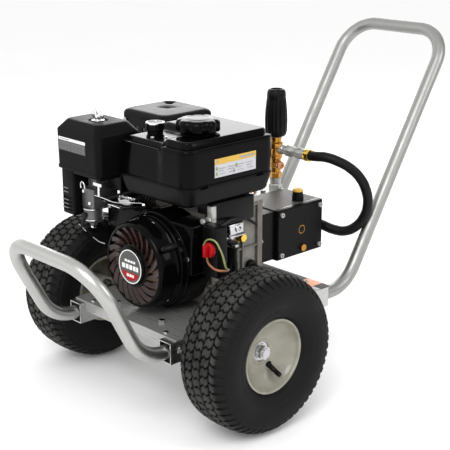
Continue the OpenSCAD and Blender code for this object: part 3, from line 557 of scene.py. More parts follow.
def deck_end():
    """The deck's rear lip on top of the rails, with the warning label on its right corner."""
    lip = block("deck_lip", (-RAIL_OUT, 298, 187.1), (RAIL_OUT, 330, 190), 0.8)
    # The lip wears the darkened deck metal: painted shade
    wear(lip, DECK_LIP_SHADE)
    label = plate("deck_label", [(-21, -21), (21, -21), (21, 21), (-21, 21)], at(124, 307, 190.1), X, Y, 0.3,
                  0)
    wear(label, ORANGE)
    mark = plate("deck_label_mark", [(-14, -8), (0, 0), (-14, 8)], at(122, 310, 190.5), X, Y, 0.25, 0)
    wear(mark, DARK_PRINT)


# ---------------------------------------------------------------- wheels
TREAD_DEPTH = 6.5
BLOCKS_ROUND = 54
# Rows of tread blocks: each row is a list of (across, shift round, half length round)
CENTRE_ROW = [(-9.5, -2.2, 7.2), (-3.5, 2.2, 7.6), (3.5, -2.2, 7.6), (9.5, 2.2, 7.2)]
MIDDLE_ROW = [(12.5, 2.4, 7.0), (18.5, -2.2, 7.6), (25, 2.2, 7.6), (31, -2.4, 7.0)]
SHOULDER_ROW = [(34, -2.2, 7.0), (41, 2.4, 7.4), (48, 1.0, 7.0), (55, 0.0, 6.4), (60.5, 0.0, 6.0)]


def crown(across):
    """Radius of the tread at a distance across it from the tyre's middle."""
    a = abs(across)
    return 165 - 2 * (min(a, 32) / 32) ** 2 - (16.5 * (max(a - 32, 0) / 30) ** 1.9)


def around(side, r, across, angle):
    return hub_centre(side) + X * (side * across * MM) + polar(Y, Z, angle) * (r * MM)


def tread_block(bm, side, row, turn, flip):
    """One rubber block: a patch over the crown whose edges fall to the groove's floor."""
    first, last = row[0], row[-1]
    rows = [(first[0], first, TREAD_DEPTH, 0), (first[0] + 0.7, first, 0.7, 0.7),
            (first[0] + 1.5, first, 0, 1.4)]
    rows += [(r[0], r, 0, 1.4) for r in row[1:-1]]
    rows += [(last[0] - 1.5, last, 0, 1.4), (last[0] - 0.7, last, 0.7, 0.7), (last[0], last, TREAD_DEPTH, 0)]
    grid = []
    for across, (_, shift, half), drop, _ in rows:
        line = []
        for inset, low in ((0, TREAD_DEPTH), (0.6, 0.8), (1.4, 0), (1.4, 0), (0.6, 0.8), (0, TREAD_DEPTH)):
            sign = -1 if len(line) < 3 else 1
            offset = flip * shift + sign * (half - inset)
            line.append(bm.verts.new(around(side, crown(across) - max(drop, low), across,
                                            turn + offset / 165)))
        grid.append(line)
    for a, b in zip(grid, grid[1:]):
        for i in range(5):
            bm.faces.new((a[i], a[i + 1], b[i + 1], b[i]))
    rim = grid[0] + [line[-1] for line in grid[1:]] + grid[-1][-2::-1] + [line[0] for line in grid[-2:0:-1]]
    bm.faces.new(rim)


def curve_through(points, steps=6):
    """Catmull-Rom points through a list of tuples."""
    found = []
    for k in range(len(points) - 1):
        a, b, c, d = (Vector(points[min(max(k + j, 0), len(points) - 1)]) for j in (-1, 0, 1, 2))
        for s in range(steps):
            t = s / steps
            found.append(0.5 * (2 * b + (c - a) * t + (2 * a - 5 * b + 4 * c - d) * t * t
                                + (3 * b - a - 3 * c + d) * t ** 3))
    return found + [Vector(points[-1])]


def tyre(name, side):
    wall = [(76, 40), (79, 47), (87, 54.5), (97, 60), (110, 63.6), (122, 64.6), (133, 63.6), (142, 61),
            (149, 57), (154, 50), (156.6, 42)]
    smooth = curve_through(wall)
    half = []
    for r, s in smooth:
        ridge = sum(max(0, 1 - abs(r - at_r) / 1.1) for at_r in (84, 99, 139))
        half.append((r, s + 0.9 * ridge))
    profile = half + [(158, 30), (158.4, 12), (158.4, -12), (158, -30)] + [(r, -s) for r, s in reversed(half)]
    hub = hub_centre(side)
    inner = [(80, -38), (95, -50), (130, -52), (148, -40), (150, 0), (148, 40), (130, 52), (95, 50), (80, 38)]
    carcass = lathe(name, hub, X * side, profile + inner, 192, 40, closed=True)
    bm = bmesh.new()
    bm.from_mesh(carcass.data)
    bpy.data.objects.remove(carcass)
    pitch = 2 * pi / BLOCKS_ROUND
    mirrored = [[(-a, s, h) for a, s, h in reversed(row)] for row in (MIDDLE_ROW, SHOULDER_ROW)]
    rows = [CENTRE_ROW, MIDDLE_ROW, SHOULDER_ROW] + mirrored
    for k, row in enumerate(rows):
        stagger = 0.5 if k in (1, 3) else 0
        flip = -1 if k in (3, 4) else 1
        for i in range(BLOCKS_ROUND):
            tread_block(bm, side, row, (i + stagger) * pitch, flip)
    return from_bmesh(name, bm, 30)


def rim(name, side):
    face = curve_through([(71.5, 45.5), (70, 41), (66, 34.5), (60, 28.5), (53, 22.5), (45, 17.6), (36, 14),
                          (29, 12.4)], 5)
    lip = [(76.6, 45.5), (77.4, 47.2), (76.8, 48.8), (75, 49.4), (73, 48.4)]
    hub_end = [(26.4, 12.8), (25.4, 14), (22.5, 14.4), (20.4, 13.6), (20.2, 10)]
    back = [(20.2, -44), (25, -44), (25.2, 6), (29, 8.8), (37, 10.8), (46, 14.4), (54, 19), (61, 25),
            (67, 31.5), (68.6, 38), (68.6, -44)]
    inner_lip = [(73, -48.4), (75, -49.4), (76.8, -48.8), (77.4, -47.2), (76.6, -45.5), (73.8, -44),
                 (73.8, 44)]
    hub = hub_centre(side)
    profile = lip + [tuple(p) for p in face] + hub_end + back + inner_lip
    return lathe(name, hub, X * side, profile, 144, 30, closed=True)


def wheel(side, word):
    body = word + "_wheel"
    wear(tyre(word + "_tyre_tread", side), TYRE, body, word + "_tyre")
    wear(rim(word + "_rim_bowl", side), RIM_PAINT, body, word + "_rim")
    hub = hub_centre(side)
    out = X * side
    race = lathe(word + "_bearing_race", hub, out, [(20, 0.5), (20, 12.3), (16.6, 12.6), (16.2, 11.6),
                                                    (16.2, 0.5)], closed=True)
    inner = lathe(word + "_inner_race", hub, out, [(12.6, 0.5), (12.6, 12.2), (10.2, 12.2), (10.2, 0.5)],
                  closed=True)
    wear(join(word + "_outer_bearing", [race, inner]), ZINC, body, word + "_bearings")
    seal = lathe(word + "_bearing_seal", hub, out, [(16.2, 1), (16.2, 11.2), (12.7, 11.2), (12.7, 1)],
                 closed=True)
    wear(seal, PLASTIC, body)
    back = lathe(word + "_inner_bearing", hub, out, [(20, -44), (20, -33), (10.2, -33), (10.2, -44)],
                 closed=True)
    wear(back, ZINC, body)
    foot = around(side, 0, 0, 0) + Vector((side * 12 * MM, 20 * MM, -33 * MM))
    lean = (out * 0.92 + Vector((0, 0.05, -0.42))).normalized()
    stem = lathe(word + "_valve", foot, lean, [(0.1, 0), (7.5, 0), (7.5, 3), (5.4, 5), (4.6, 22), (4.2, 23),
                                               (4.9, 24), (4.9, 35), (4.2, 36.5), (0.1, 36.5)], 32)
    wear(stem, PLASTIC, body, word + "_valve_stem")


frame_tubes()
rail_trim()
deck_end()
wheel(-1, "left")
wheel(1, "right")


# ---------------------------------------------------------------- fuel tank
TANK = (-116, -44, 110, 212)  # low x, low y, high x, high y
SEAM, TANK_TOP, TANK_FLOOR = 467, 560, 425
CAP = (32, 58)
GAUGE = (-72, 30)


def rounded_box_ring(box, inset, corner, z, steps=8, along=22):
    """Ring of points round a rectangle with round corners, evenly spread along its sides."""
    x0, y0, x1, y1 = (box[0] + inset, box[1] + inset, box[2] - inset, box[3] - inset)
    r = max(min(corner, (x1 - x0) / 2 - 0.5, (y1 - y0) / 2 - 0.5), 0.5)
    corners = ((x1 - r, y1 - r, 0), (x0 + r, y1 - r, 1), (x0 + r, y0 + r, 2), (x1 - r, y0 + r, 3))
    ring = []
    for k, (cx, cy, quarter) in enumerate(corners):
        arc = [(cx + r * cos(pi / 2 * (quarter + i / steps)),
                cy + r * sin(pi / 2 * (quarter + i / steps))) for i in range(steps + 1)]
        nx, ny, nq = corners[(k + 1) % 4]
        start = (nx + r * cos(pi / 2 * nq), ny + r * sin(pi / 2 * nq))
        ring += arc
        ring += [(arc[-1][0] + (start[0] - arc[-1][0]) * i / along,
                  arc[-1][1] + (start[1] - arc[-1][1]) * i / along) for i in range(1, along)]
    return [(x, y, z) for x, y in ring]


def boxy(name, box, layers, reshape=None, sharp=35):
    """Loft of rounded rectangles; layers are (z, inset, corner radius). reshape moves each point."""
    rings = []
    for z, inset, corner in layers:
        ring = rounded_box_ring(box, inset, corner, z)
        rings.append([at(*(reshape(*p) if reshape else p)) for p in ring])
    return loft(name, rings, sharp)


def round_edge(z, inset, size, steps=5):
    """Layers that turn from an upright wall into a flat top, ending at z."""
    turns = [pi / 2 * i / steps for i in range(steps + 1)]
    return [(z - size + size * sin(t), inset + size * (1 - cos(t))) for t in turns]


def tank_step(x, y, z):
    """The tank's front left part is set back and lower, round the fuel gauge."""
    left = 1 - smooth_step(x, 18, 34)
    shoulder = max(0.0, (TANK[0] + 30 - x) / 30) ** 2
    front = 1 - smooth_step(y, 62, 78)
    high = smooth_step(z, 486, 510)
    face = 1 - smooth_step(y, -30, 10)
    return x, y + 4 * left * face * high, z - (13 * left * front + 12 * shoulder) * smooth_step(z, 530, 556)


def fuel_tank():
    layers = [(SEAM, 0, 26), (SEAM + 2, 0, 26), (SEAM + 3, 2.2, 24), (500, 1.4, 24), (520, 1.4, 24),
              (535, 1.8, 24)]
    layers += [(z, inset + 1.8, 24) for z, inset in round_edge(546, 0, 4)]
    layers += [(547, 11.5, 20), (555, 13, 18)]
    layers += [(z, inset + 13.5, 17) for z, inset in round_edge(TANK_TOP, 0, 4)]
    layers += [(TANK_TOP, inset, 16) for inset in (20, 26, 32, 40, 48, 56, 64, 72, 80, 88, 96, 102)]
    upper = boxy("fuel_tank_shell", TANK, layers, tank_step, 50)
    wear(upper, GLOSS_BLACK, node="fuel_tank")
    foot = [(TANK_FLOOR, inset, 16) for inset in (100, 60, 30)]
    foot += [(TANK_FLOOR + 10 * (1 - cos(t)), 8 + 10 * (1 - sin(t)), 22)
             for t in [pi / 2 * i / 6 for i in range(7)]]
    foot += [(SEAM - 14, 2.6, 25), (SEAM - 4, 1.4, 25), (SEAM - 3.2, 0, 26), (SEAM - 0.6, 0, 26),
             (SEAM - 0.4, 4, 24)]
    lower = boxy("fuel_tank_lower_shell", TANK, foot, None, 40)
    posts = [lathe("p", at(x, y, 400), Z, disc(8, 26), 32)
             for x, y in ((-40, 60), (60, 60), (60, 150))]
    lower = join("fuel_tank_lower_shell", [lower] + posts)
    wear(lower, SATIN_BLACK, node="fuel_tank_base")
    ears = [block("e", (TANK[2] - 4, y, SEAM - 5), (TANK[2] + 0.0, y + 24, SEAM + 4), 1.5) for y in (-8, 150)]
    wear(join("tank_seam_ears", ears), GLOSS_BLACK)


def fuel_cap():
    lobes = 8
    rings = []
    for z, r, wave in ((3, 38, 0.3), (4, 44, 0.8), (6, 46, 1), (20, 46, 1), (24, 45, 1), (27, 42.5, 1),
                       (28.5, 39, 0.8), (29, 34, 0.3), (29, 26, 0), (29.6, 24, 0), (29.6, 12, 0),
                       (29.6, 5, 0)):
        ring = []
        for t in full_turn(160):
            dip = 4.2 * wave * (0.5 - 0.5 * cos(lobes * t)) ** 3
            ring.append(at(CAP[0] + (r - dip) * cos(t), CAP[1] + (r - dip) * sin(t), TANK_TOP + z))
        rings.append(ring)
    cap = loft("fuel_cap_moulding", rings, 40)
    wear(cap, GLOSS_BLACK, "fuel_cap", "fuel_cap")
    collar = lathe("filler_neck", at(*CAP, TANK_TOP - 4), Z,
                   [(30, 0), (38, 0), (38, 4.6), (34, 6), (32, 10), (29, 10)],
                   closed=True)
    wear(collar, GLOSS_BLACK)


def fuel_gauge():
    top = 566
    cup = lathe("gauge_body", at(*GAUGE, 540), Z, [(0.1, 0), (17, 0), (17, 12), (19.5, 14), (19.5, 26),
                                                   (18, 28), (0.1, 28)])
    wear(cup, PLASTIC)
    bezel = lathe("gauge_bezel", at(*GAUGE, top), Z,
                  [(19.6, 0), (20.2, 2), (19.6, 4), (17.4, 4.6), (16, 3.4), (16, 0)],
                  closed=True)
    wear(bezel, CHROME)
    dial = lathe("gauge_dial", at(*GAUGE, top + 1.5), Z, disc(16, 1.5))
    wear(dial, GLOSS_BLACK)
    ticks = []
    for i in range(7):
        t = radians(200 - 220 * i / 6)
        u = polar(X, Y, t)
        ticks.append(plate("t", [(9.5, -0.5), (13.5, -0.5), (13.5, 0.5), (9.5, 0.5)], at(*GAUGE, top + 3.1),
                           u, Z.cross(u), 0.2, 0))
    wear(join("gauge_ticks", ticks), WHITE)
    needle = plate("gauge_needle", [(-3, -0.8), (12, -0.3), (12, 0.3), (-3, 0.8)], at(*GAUGE, top + 3.5),
                   (X - Y).normalized(), (X + Y).normalized(), 0.3, 0)
    wear(needle, RED)
    screws = [lathe("s", at(x, y, 546), Z, [(0.1, 0), (4, 0), (4, 2.6), (2.5, 3.4), (0.1, 3.4)], 24)
              for x, y in ((-38, -6), (-20, 14))]
    wear(join("gauge_screws", screws), CHROME)


def print_on(name, origin, u, v, rects, material):
    """Thin printed patches: rects are (low a, low b, high a, high b) in mm along u and v."""
    parts = [plate("r", [(a, b), (c, b), (c, d), (a, d)], origin, u, v, 0.25, 0) for a, b, c, d in rects]
    return wear(join(name, parts), material)


def tank_label():
    origin = at(TANK[2] - 1.1, 33, 481)
    print_on("tank_label_paper", origin, Y, Z, [(0, 0, 117, 39)], LABEL_WHITE)
    print_on("tank_label_band", origin + X * 0.0003, Y, Z, [(0, 27, 117, 39)], YELLOW)
    dark = [(5, 30, 9, 36), (70, 30.5, 112, 35)] + [(52 + 2 * k, 4, 53 + 2 * k, 10 + 3 * (k % 2))
                                                    for k in range(3)]
    dark += [(10 + 26 * k, 17, 30 + 26 * k, 18.6) for k in range(4)]
    dark += [(10 + 26 * k, 12, 26 + 26 * k, 13.4) for k in range(4)]
    dark += [(14 + 26 * k, 6, 30 + 26 * k, 7.4) for k in range(4)]
    print_on("tank_label_lines", origin + X * 0.0006, Y, Z, dark, GREY_PRINT)
    print_on("tank_label_icons", origin + X * 0.0006, Y, Z, [(3, 15, 8, 22), (3, 4, 8, 11), (58, 14, 63, 22)],
             GREEN)


# ---------------------------------------------------------------- air cleaner, muffler, carburettor
CLEANER = (-272, -88, -118.5, 30)
STUD = (-186, -34)


def solid_minus(piece, cutters):
    """Cuts closed pieces out of another and deletes them."""
    for cutter in cutters:
        modifier = piece.modifiers.new("cut", "BOOLEAN")
        modifier.operation = "DIFFERENCE"
        modifier.solver = "EXACT"
        modifier.object = cutter
    mesh = bpy.data.meshes.new_from_object(piece.evaluated_get(bpy.context.evaluated_depsgraph_get()))
    name = piece.name
    for old in [piece] + cutters:
        bpy.data.objects.remove(old)
    return finish_mesh(name, mesh, 30)


def air_cleaner():
    layers = [(457, 3, 11), (457, 0.6, 13), (458, 0, 14), (463, 0, 14), (465, 1.6, 13), (500, 1.2, 13),
              (541, 0.6, 14)]
    layers += [(544, 1.0, 14), (546, 2.4, 14), (563, 15, 16), (565, 17.5, 16), (565.6, 21, 16)]
    layers += [(565.6, inset, 16) for inset in (30, 42, 54)]
    shell = boxy("air_cleaner_shell", CLEANER, layers)
    dent = lathe("dent", at(*STUD, 562.5), Z, [(0.1, 0), (19, 0), (23, 3.2), (23, 8), (0.1, 8)])
    shell = solid_minus(shell, [dent])
    wear(shell, MATT_BLACK, "air_cleaner_cover", "air_cleaner_cover")
    boss = lathe("air_cleaner_seat", at(*STUD, 562.4), Z,
                 [(3.1, 0), (14, 0), (14, 3.6), (12.5, 4.6), (3.1, 4.6)], closed=True)
    wear(boss, CHROME, "air_cleaner_cover")
    origin = at(-258, CLEANER[1] + 0.7, 499)
    print_on("air_label", origin, X, Z, [(0, 0, 95, 29)], DARK_PRINT)
    print_on("air_label_top", origin - Y * 0.0003, X, Z, [(0, 22.5, 95, 29)], WHITE)
    print_on("air_label_body", origin - Y * 0.0003, X, Z,
             [(2, 11, 42, 20), (2, 2, 42, 9), (46, 11, 92, 20), (46, 2, 92, 9)], LABEL_GREY)
    print_on("air_label_lines", origin - Y * 0.0006, X, Z,
             [(6, 13.5, 38, 15), (6, 4.4, 36, 5.6), (50, 4.6, 86, 6), (50, 14, 86, 15.6),
              (6, 25, 40, 26.4)], DARK_PRINT)


def box_and_vents():
    """The lower air box, with its louvres, tray and elbow, and the intake shield."""
    low = block("b", (-265, -80, 352), (-220, 22, 457), 5, 4)
    shell = solid_minus(low, [block("c", (-273, -66, z), (-262.5, 8, z + 4.5), 0.6, 1)
                              for z in range(362, 430, 9)]
                        + [block("c", (-259, -90, z), (-226, -77.5, z + 4.5), 0.6, 1)
                           for z in range(362, 396, 9)])
    tray = block("tray", (-220.2, -80, 449), (-124, 22, 457), 2)
    elbow = block("elbow", (-206, -52, 442), (-178, -12, 449.2), 1.5)
    wear(join("air_box", [shell, tray, elbow]), MATT_BLACK, node="air_cleaner_base")
    # Thin grey strips on the louvre lips stand in for the light they catch: painted highlight
    edges = [block("v", (-262, -82, z), (-240, -79.5, z + 2), 0.6, 1) for z in (366, 375, 384, 402, 411)]
    wear(join("louvre_highlight_strips", edges), LOUVRE_HIGHLIGHT)
    shield = [block("s", (-162, -28, 418), (-119, 70, 456), 3),
              block("s", (-124, -30, 400), (-119, 30, 450), 1)]
    wear(join("intake_shield", shield), PLASTIC)


def muffler_guard():
    box = (-284, 105, -132, 256)
    layers = [(442, 3.2, 13), (442, 0, 16), (444, 0, 16), (540, 0, 16)]
    layers += [(z, inset, 16 + inset / 3) for z, inset in round_edge(560, 0, 12, 6)]
    layers += [(560, inset, 14) for inset in (14, 20, 30, 42, 54, 64)]
    dimples = ((-214, 185), (-255, 228))

    def dimple(x, y, z):
        deep = sum(max(0.0, 1 - ((x - px) ** 2 + (y - py) ** 2) / 16 ** 2) for px, py in dimples)
        return x, y, z - (4.5 * min(deep * 1.6, 1) if z > 555 else 0)

    shell = boxy("muffler_guard_shell", box, layers, dimple, 50)
    inner = boxy("inner", box, [(436, 4, 12), (556, 4, 12)])
    slots = [block("s", (x, 100, 470), (x + 12, 114, 525), 2, 2) for x in range(-256, -159, 24)]
    slots += [block("s", (-138, y, 470), (-126, y + 12, 525), 2, 2) for y in range(128, 237, 22)]
    shell = solid_minus(shell, [inner] + slots)
    wear(shell, SATIN_BLACK, node="muffler_guard")
    bolts = [hexagon(at(-132, y, 536), X, 6, 4) for y in (122, 238)]
    bolts += [hexagon(at(x, 105, 536), -Y, 6, 4) for x in (-266, -150)]
    wear(join("guard_bolts", bolts), ZINC)


# ---------------------------------------------------------------- fan housing and recoil starter
DUCT_LOW, DUCT_HIGH = (-164, -34, 286), (112, 24, 392)
DRUM_FRONT, DRUM_R = 50, 105


def fan_housing():
    """Round drum with two stepped rings, standing in front of the square air duct."""
    profile = [(84, -24), (DRUM_R, -24), (DRUM_R, 30), (104.6, 33), (103, 35), (100.5, 35.6), (100, 36.4),
               (100, 45), (99.4, 47.6), (97.5, 49.4), (95, DRUM_FRONT), (86, DRUM_FRONT), (84, 48)]
    drum = lathe("drum", at(0, 0, SHAFT_Z), -Y, profile, 160, 30, closed=True)
    duct = block("duct", DUCT_LOW, DUCT_HIGH, 5, 4)
    lip = block("lip", (100, 22, DUCT_LOW[2]), (112, 46, 380), 2)
    wear(join("fan_shroud", [drum, duct, lip]), GLOSS_BLACK, node="fan_housing")
    rim_bolts = [hexagon(at(x, DUCT_LOW[1], z), -Y, 5.5, 4)
                 for x, z in ((-152, 382), (-152, 300), (75, 356), (102, 322))]
    wear(join("fan_shroud_bolts", rim_bolts), ZINC)


def recoil_starter():
    centre = at(0, 0, SHAFT_Z)
    rim_profile = [(86, 50), (98, 50), (98, 56), (96, 58.5), (95, 60), (93.5, 74), (92, 86), (90.5, 91),
                   (88, 95), (84.5, 97.2), (82, 97.2), (81, 96), (81, 88), (84, 84), (86, 78)]
    ring = lathe("ring", centre, -Y, rim_profile, 128, 30, closed=True)
    hub = lathe("hub", centre, -Y, [(0.1, 84), (47, 84), (47, 94), (46, 96), (43, 97.5), (41, 98), (41, 99),
                                    (40, 102.4), (38.5, 103.6), (36, 104), (0.1, 104)], 128, 30)
    fins = []
    count = 20
    for k in range(count):
        rings = []
        for i in range(9):
            r = 44 + (83 - 44) * i / 8
            turn = 2 * pi * k / count + radians(24) * ((r - 44) / 39) ** 1.3
            half = pi / count * 0.62
            corners = ((turn - half, 97.0), (turn + half, 94.0), (turn + half, 88), (turn - half, 88))
            rings.append([centre - Y * (h * MM) + polar(X, Z, t) * (r * MM) for t, h in corners])
        fins.append(loft("fin", rings, 30))
    wear(join("recoil_housing", [ring, hub]), GLOSS_BLACK, node="recoil_cover")
    wear(join("recoil_fins", fins), FIN_PAINT_WITH_REFLECTION)
    back = lathe("recoil_inner", centre, -Y, [(0.1, 87), (82, 87), (82, 88), (0.1, 88)], 96)
    wear(back, BRONZE_DARK)
    bolts = []
    for k in range(3):
        t = radians(75 + 120 * k)
        spot = centre - Y * 0.058 + polar(X, Z, t) * 0.0955
        bolts.append(hexagon(spot - polar(X, Z, t) * 0.004, -Y, 5, 4))
    wear(join("recoil_bolts", bolts), ZINC)
    badge = lathe("badge_face", centre, -Y, [(0.1, 104), (35.5, 104), (35.5, 104.3), (0.1, 104.3)], 96)
    wear(badge, DARK_PRINT)
    edge = lathe("badge_ring", centre, -Y, [(34.2, 104.2), (36.2, 104.2), (36.2, 104.7), (34.2, 104.7)], 96,
                 closed=True)
    wear(edge, WHITE)
    front = centre - Y * 0.1043
    print_on("badge_bars", front, X, Z, [(-17, 9, -10, 14), (-8, 9, 0, 14), (2, 9, 9, 14), (11, 9, 17, 14),
             (-26, -6, -17, 4), (-14, -6, -5, 4), (-2, -6, 7, 4), (10, -6, 18, 4), (20, -6, 26, 4)], WHITE)
    arc = [(30 * cos(radians(t)), 30 * sin(radians(t))) for t in range(205, 336, 5)]
    wear(plate("badge_red", arc, front, X, Z, 0.25, 0), RED)
    print_on("badge_red_bars", front - Y * 0.0003, X, Z,
             [(-11, -22, -4, -16), (-2, -22, 5, -16), (7, -22, 12, -16)], WHITE)


def starter_grip():
    along = polar(X, Z, radians(CLOCK))
    across = Y.cross(along)
    base = at(0, -74, SHAFT_Z)
    rings = []
    for d, half_w, half_t in ((103.5, 18, 4), (104.5, 20.5, 6), (107, 22, 7.4), (111, 22, 7.6),
                              (114.5, 20.5, 6.2), (116, 17, 3.6)):
        ring = []
        for t in full_turn(48):
            c, s = cos(t), sin(t)
            ring.append(base + along * (d * MM) + Y * (half_w * abs(c) ** 0.7 * copysign(1, c) * MM)
                        + across * (half_t * abs(s) ** 0.8 * copysign(1, s) * MM))
        rings.append(ring)
    grip = loft("grip_bar", rings, 45)
    neck = lathe("grip_neck", base + along * 0.092, along,
                 [(0.1, 0), (5.5, 0), (6, 3), (5, 10), (7, 13), (0.1, 13)], 32)
    wear(join("starter_handle", [grip, neck]), PLASTIC, "starter_grip", "starter_grip")
    guide = lathe("cord_guide", base + along * 0.086, along, [(3, 0), (9, 0), (9.5, 3), (7, 6), (3, 6)], 40,
                  closed=True)
    wear(guide, CHROME)


# ---------------------------------------------------------------- engine switch, wires and small fittings
SWITCH = (143, 347)  # across, up
SWITCH_FACE, DIAL_FACE = -6, -10.3


def switch_and_wires():
    box_piece = block("switch_case", (112, SWITCH_FACE, 286), (158, 22, 392), 3, 4)
    collar = lathe("c", at(SWITCH[0], SWITCH_FACE, SWITCH[1]), -Y,
                   [(0.1, 0), (14, 0), (14, 3), (13, 4), (0.1, 4)], 48)
    wear(join("switch_case", [box_piece, collar]), PLASTIC, node="engine_switch")
    origin = at(SWITCH[0], DIAL_FACE, SWITCH[1])
    rings = []
    for h, r in ((0, 14.4), (1, 15), (6, 15), (8, 14), (9, 12.5)):
        rings.append([origin - Y * (h * MM) + polar(X, Z, t) * ((r + 0.6 * cos(18 * t)) * MM)
                      for t in full_turn(144)])
    knob = loft("knob", rings, 40)
    bar = block("bar", (SWITCH[0] - 4.2, DIAL_FACE - 20, SWITCH[1] - 13),
                (SWITCH[0] + 4.2, DIAL_FACE - 8, SWITCH[1] + 13), 2.4, 4)
    wear(join("switch_dial", [knob, bar]), RED, "switch_knob", "switch_knob")
    wires = {
        "wire_green": ([(120, -9, 350), (128, -9, 362), (141, -9, 368), (155, -8, 366), (163, -4, 352),
                        (168, 0, 336),
                        (170, 6, 312), (160, 24, 300)], 2.0, WIRE_GREEN),
        "wire_brown": ([(130, -9, 330), (134, -9, 317), (146, -8, 309), (158, -6, 306), (168, 2, 305),
                        (160, 22, 300)], 2.4,
                       WIRE_BROWN),
        "wire_black": ([(150, 21, 300), (158, 30, 286), (150, 46, 262), (128, 70, 256), (106, 92, 262)], 2.6,
                       PLASTIC),
        "wire_loom": ([(130, 20, 386), (120, 44, 384), (106, 84, 384), (99, 130, 374), (94, 168, 352)], 3.2,
                      PLASTIC),
    }
    for name, (line, radius, material) in wires.items():
        wear(wire(name, line, radius), material)


def engine_fittings():
    """Coil bracket, shroud, tank bracket, governor, plugs and caps on the engine's right side."""
    bracket = [block("b", (86, 78, 342), (108, 124, 345), 1), block("b", (86, 78, 330), (89, 124, 345), 1),
               block("b", (90, 80, 345), (104, 122, 370), 3),
               lathe("h", at(104, 106, 358), X, [(5, 0), (9, 0), (9, 3), (5, 3)], 32, closed=True)]
    wear(join("coil_bracket", bracket), ZINC)
    cover = [block("c", (58, 30, 372), (104, 152, 423.5), 3), block("c", (86, 44, 350), (100, 78, 374), 2)]
    wear(join("cylinder_shroud", cover), PLASTIC)
    posts = [block("p", (90, 28, 384), (105, 42, 420), 2), hexagon(at(98, 27.5, 392), -Y, 7, 6),
             hexagon(at(112, -1, 398), -Y, 6, 5)]
    wear(join("tank_bracket", posts), MANIFOLD)
    cap = hexagon(at(86, 126, 331), X, 10, 14)
    stub = lathe("s", at(85, 126, 331), X, [(0.1, 0), (11, 0), (11, 4), (8, 6), (0.1, 6)], 32)
    wear(join("sensor_cap", [cap, stub]), GOLD)
    drum = lathe("governor_housing", at(97, 95, 250), Z,
                 [(0.1, 0), (11, 0), (12, 2), (12, 34), (10.5, 37), (10.5, 60), (12, 62), (12, 76), (10, 79),
                  (0.1, 79)], 48)
    wear(drum, PLASTIC)
    straps = [lathe("s", at(97, 95, z), Z, [(12.1, 0), (12.8, 0), (12.8, 5), (12.1, 5)], 48, closed=True)
              for z in (258, 320)]
    wear(join("governor_straps", straps), ZINC)
    plug = [lathe("p", at(85, y, 222), X, disc(11, 3), 40) for y in (52, 158)]
    heads = [hexagon(at(88, y, 222), X, 9, 9) for y in (52, 158)]
    wear(join("drain_plugs", plug + heads), ZINC)
    dipstick = lathe("d", at(85, 158, 258), X, [(0.1, 0), (14, 0), (14, 5), (12, 9), (0.1, 9)], 40)
    wing = block("w", (92, 146, 255), (102, 170, 261), 1.6)
    wear(join("second_filler_cap", [dipstick, wing]), PLASTIC)


def casting_ribs():
    """Ribs and lugs of the crankcase and its cover."""
    parts = [block("r", (84, y, 206), (91, y + 5, 396), 1.6) for y in (40, 70, 130, 176)]
    parts += [block("r", (84, 32, z), (89, 180, z + 5), 1.6) for z in (240, 300, 392)]
    parts += [block("r", (84, 30, 205), (100, 182, 214), 2.5)]
    wear(join("crankcase_ribs", parts), CAST)
    bosses = []
    for k in range(6):
        t = radians(30 + 60 * k)
        u = polar(X, Z, t)
        rib = plate("k", [(40, -3), (64, -2), (64, 2), (40, 3)], at(0, 193, SHAFT_Z), u, -Y.cross(u), 6, 1)
        bosses.append(rib)
    wear(join("cover_ribs", bosses), COVER_CAST)


BOWL = (-196, -48)


def carburettor():
    """Body, float bowl, screws and linkage of the carburettor."""
    body = [block("b", (-214, -64, 372.5), (-172, 4, 418), 3),
            block("f", (-206, -52, 416), (-178, -12, 442), 2),
            lathe("p", at(-182, 4, 376), Y, disc(14, 34), 48)]
    bowl = lathe("bowl", at(*BOWL, 0), Z, [(0.1, 331), (7, 331), (8, 332), (8, 338), (14, 338.6), (18.5, 341),
                                           (20.6, 345),
                                           (21, 350), (21, 368), (22.4, 369), (22.4, 373), (0.1, 373)], 64)
    wear(join("carburettor_body", body + [bowl]), CARB_CAST, node="carburetor")
    bright = [lathe("r", at(*BOWL, z), Z, [(21.1, 0), (23, 0.4), (23, 2), (21.1, 2.4)], 64, closed=True)
              for z in (346, 370)]
    bright += [lathe("s", at(x, -64, z), -Y, [(0.1, 0), (4.4, 0), (4.4, 2.6), (3, 3.6), (0.1, 3.6)], 24)
               for x, z in ((-206, 410), (-184, 386))]
    bright += [hexagon(at(BOWL[0], BOWL[1], 331), -Z, 6, 6),
               lathe("t", at(-172, -40, 392), X, disc(4, 14), 24)]
    wear(join("carburettor_screws", bright), CHROME)
    arch = wire("vent_tube", ((-207, -70, 418), (-206, -71, 428), (-200, -71, 433), (-194, -71, 428),
                              (-193, -70, 418)), 1.6)
    wear(arch, CHROME)
    lever = [block("l", (-134, -92, 442), (-106, -89, 449), 1),
             block("l", (-119, -92, 420), (-113, -89, 444), 1)]
    wear(join("choke_plate", lever), CHROME, "choke_lever", "choke_lever")


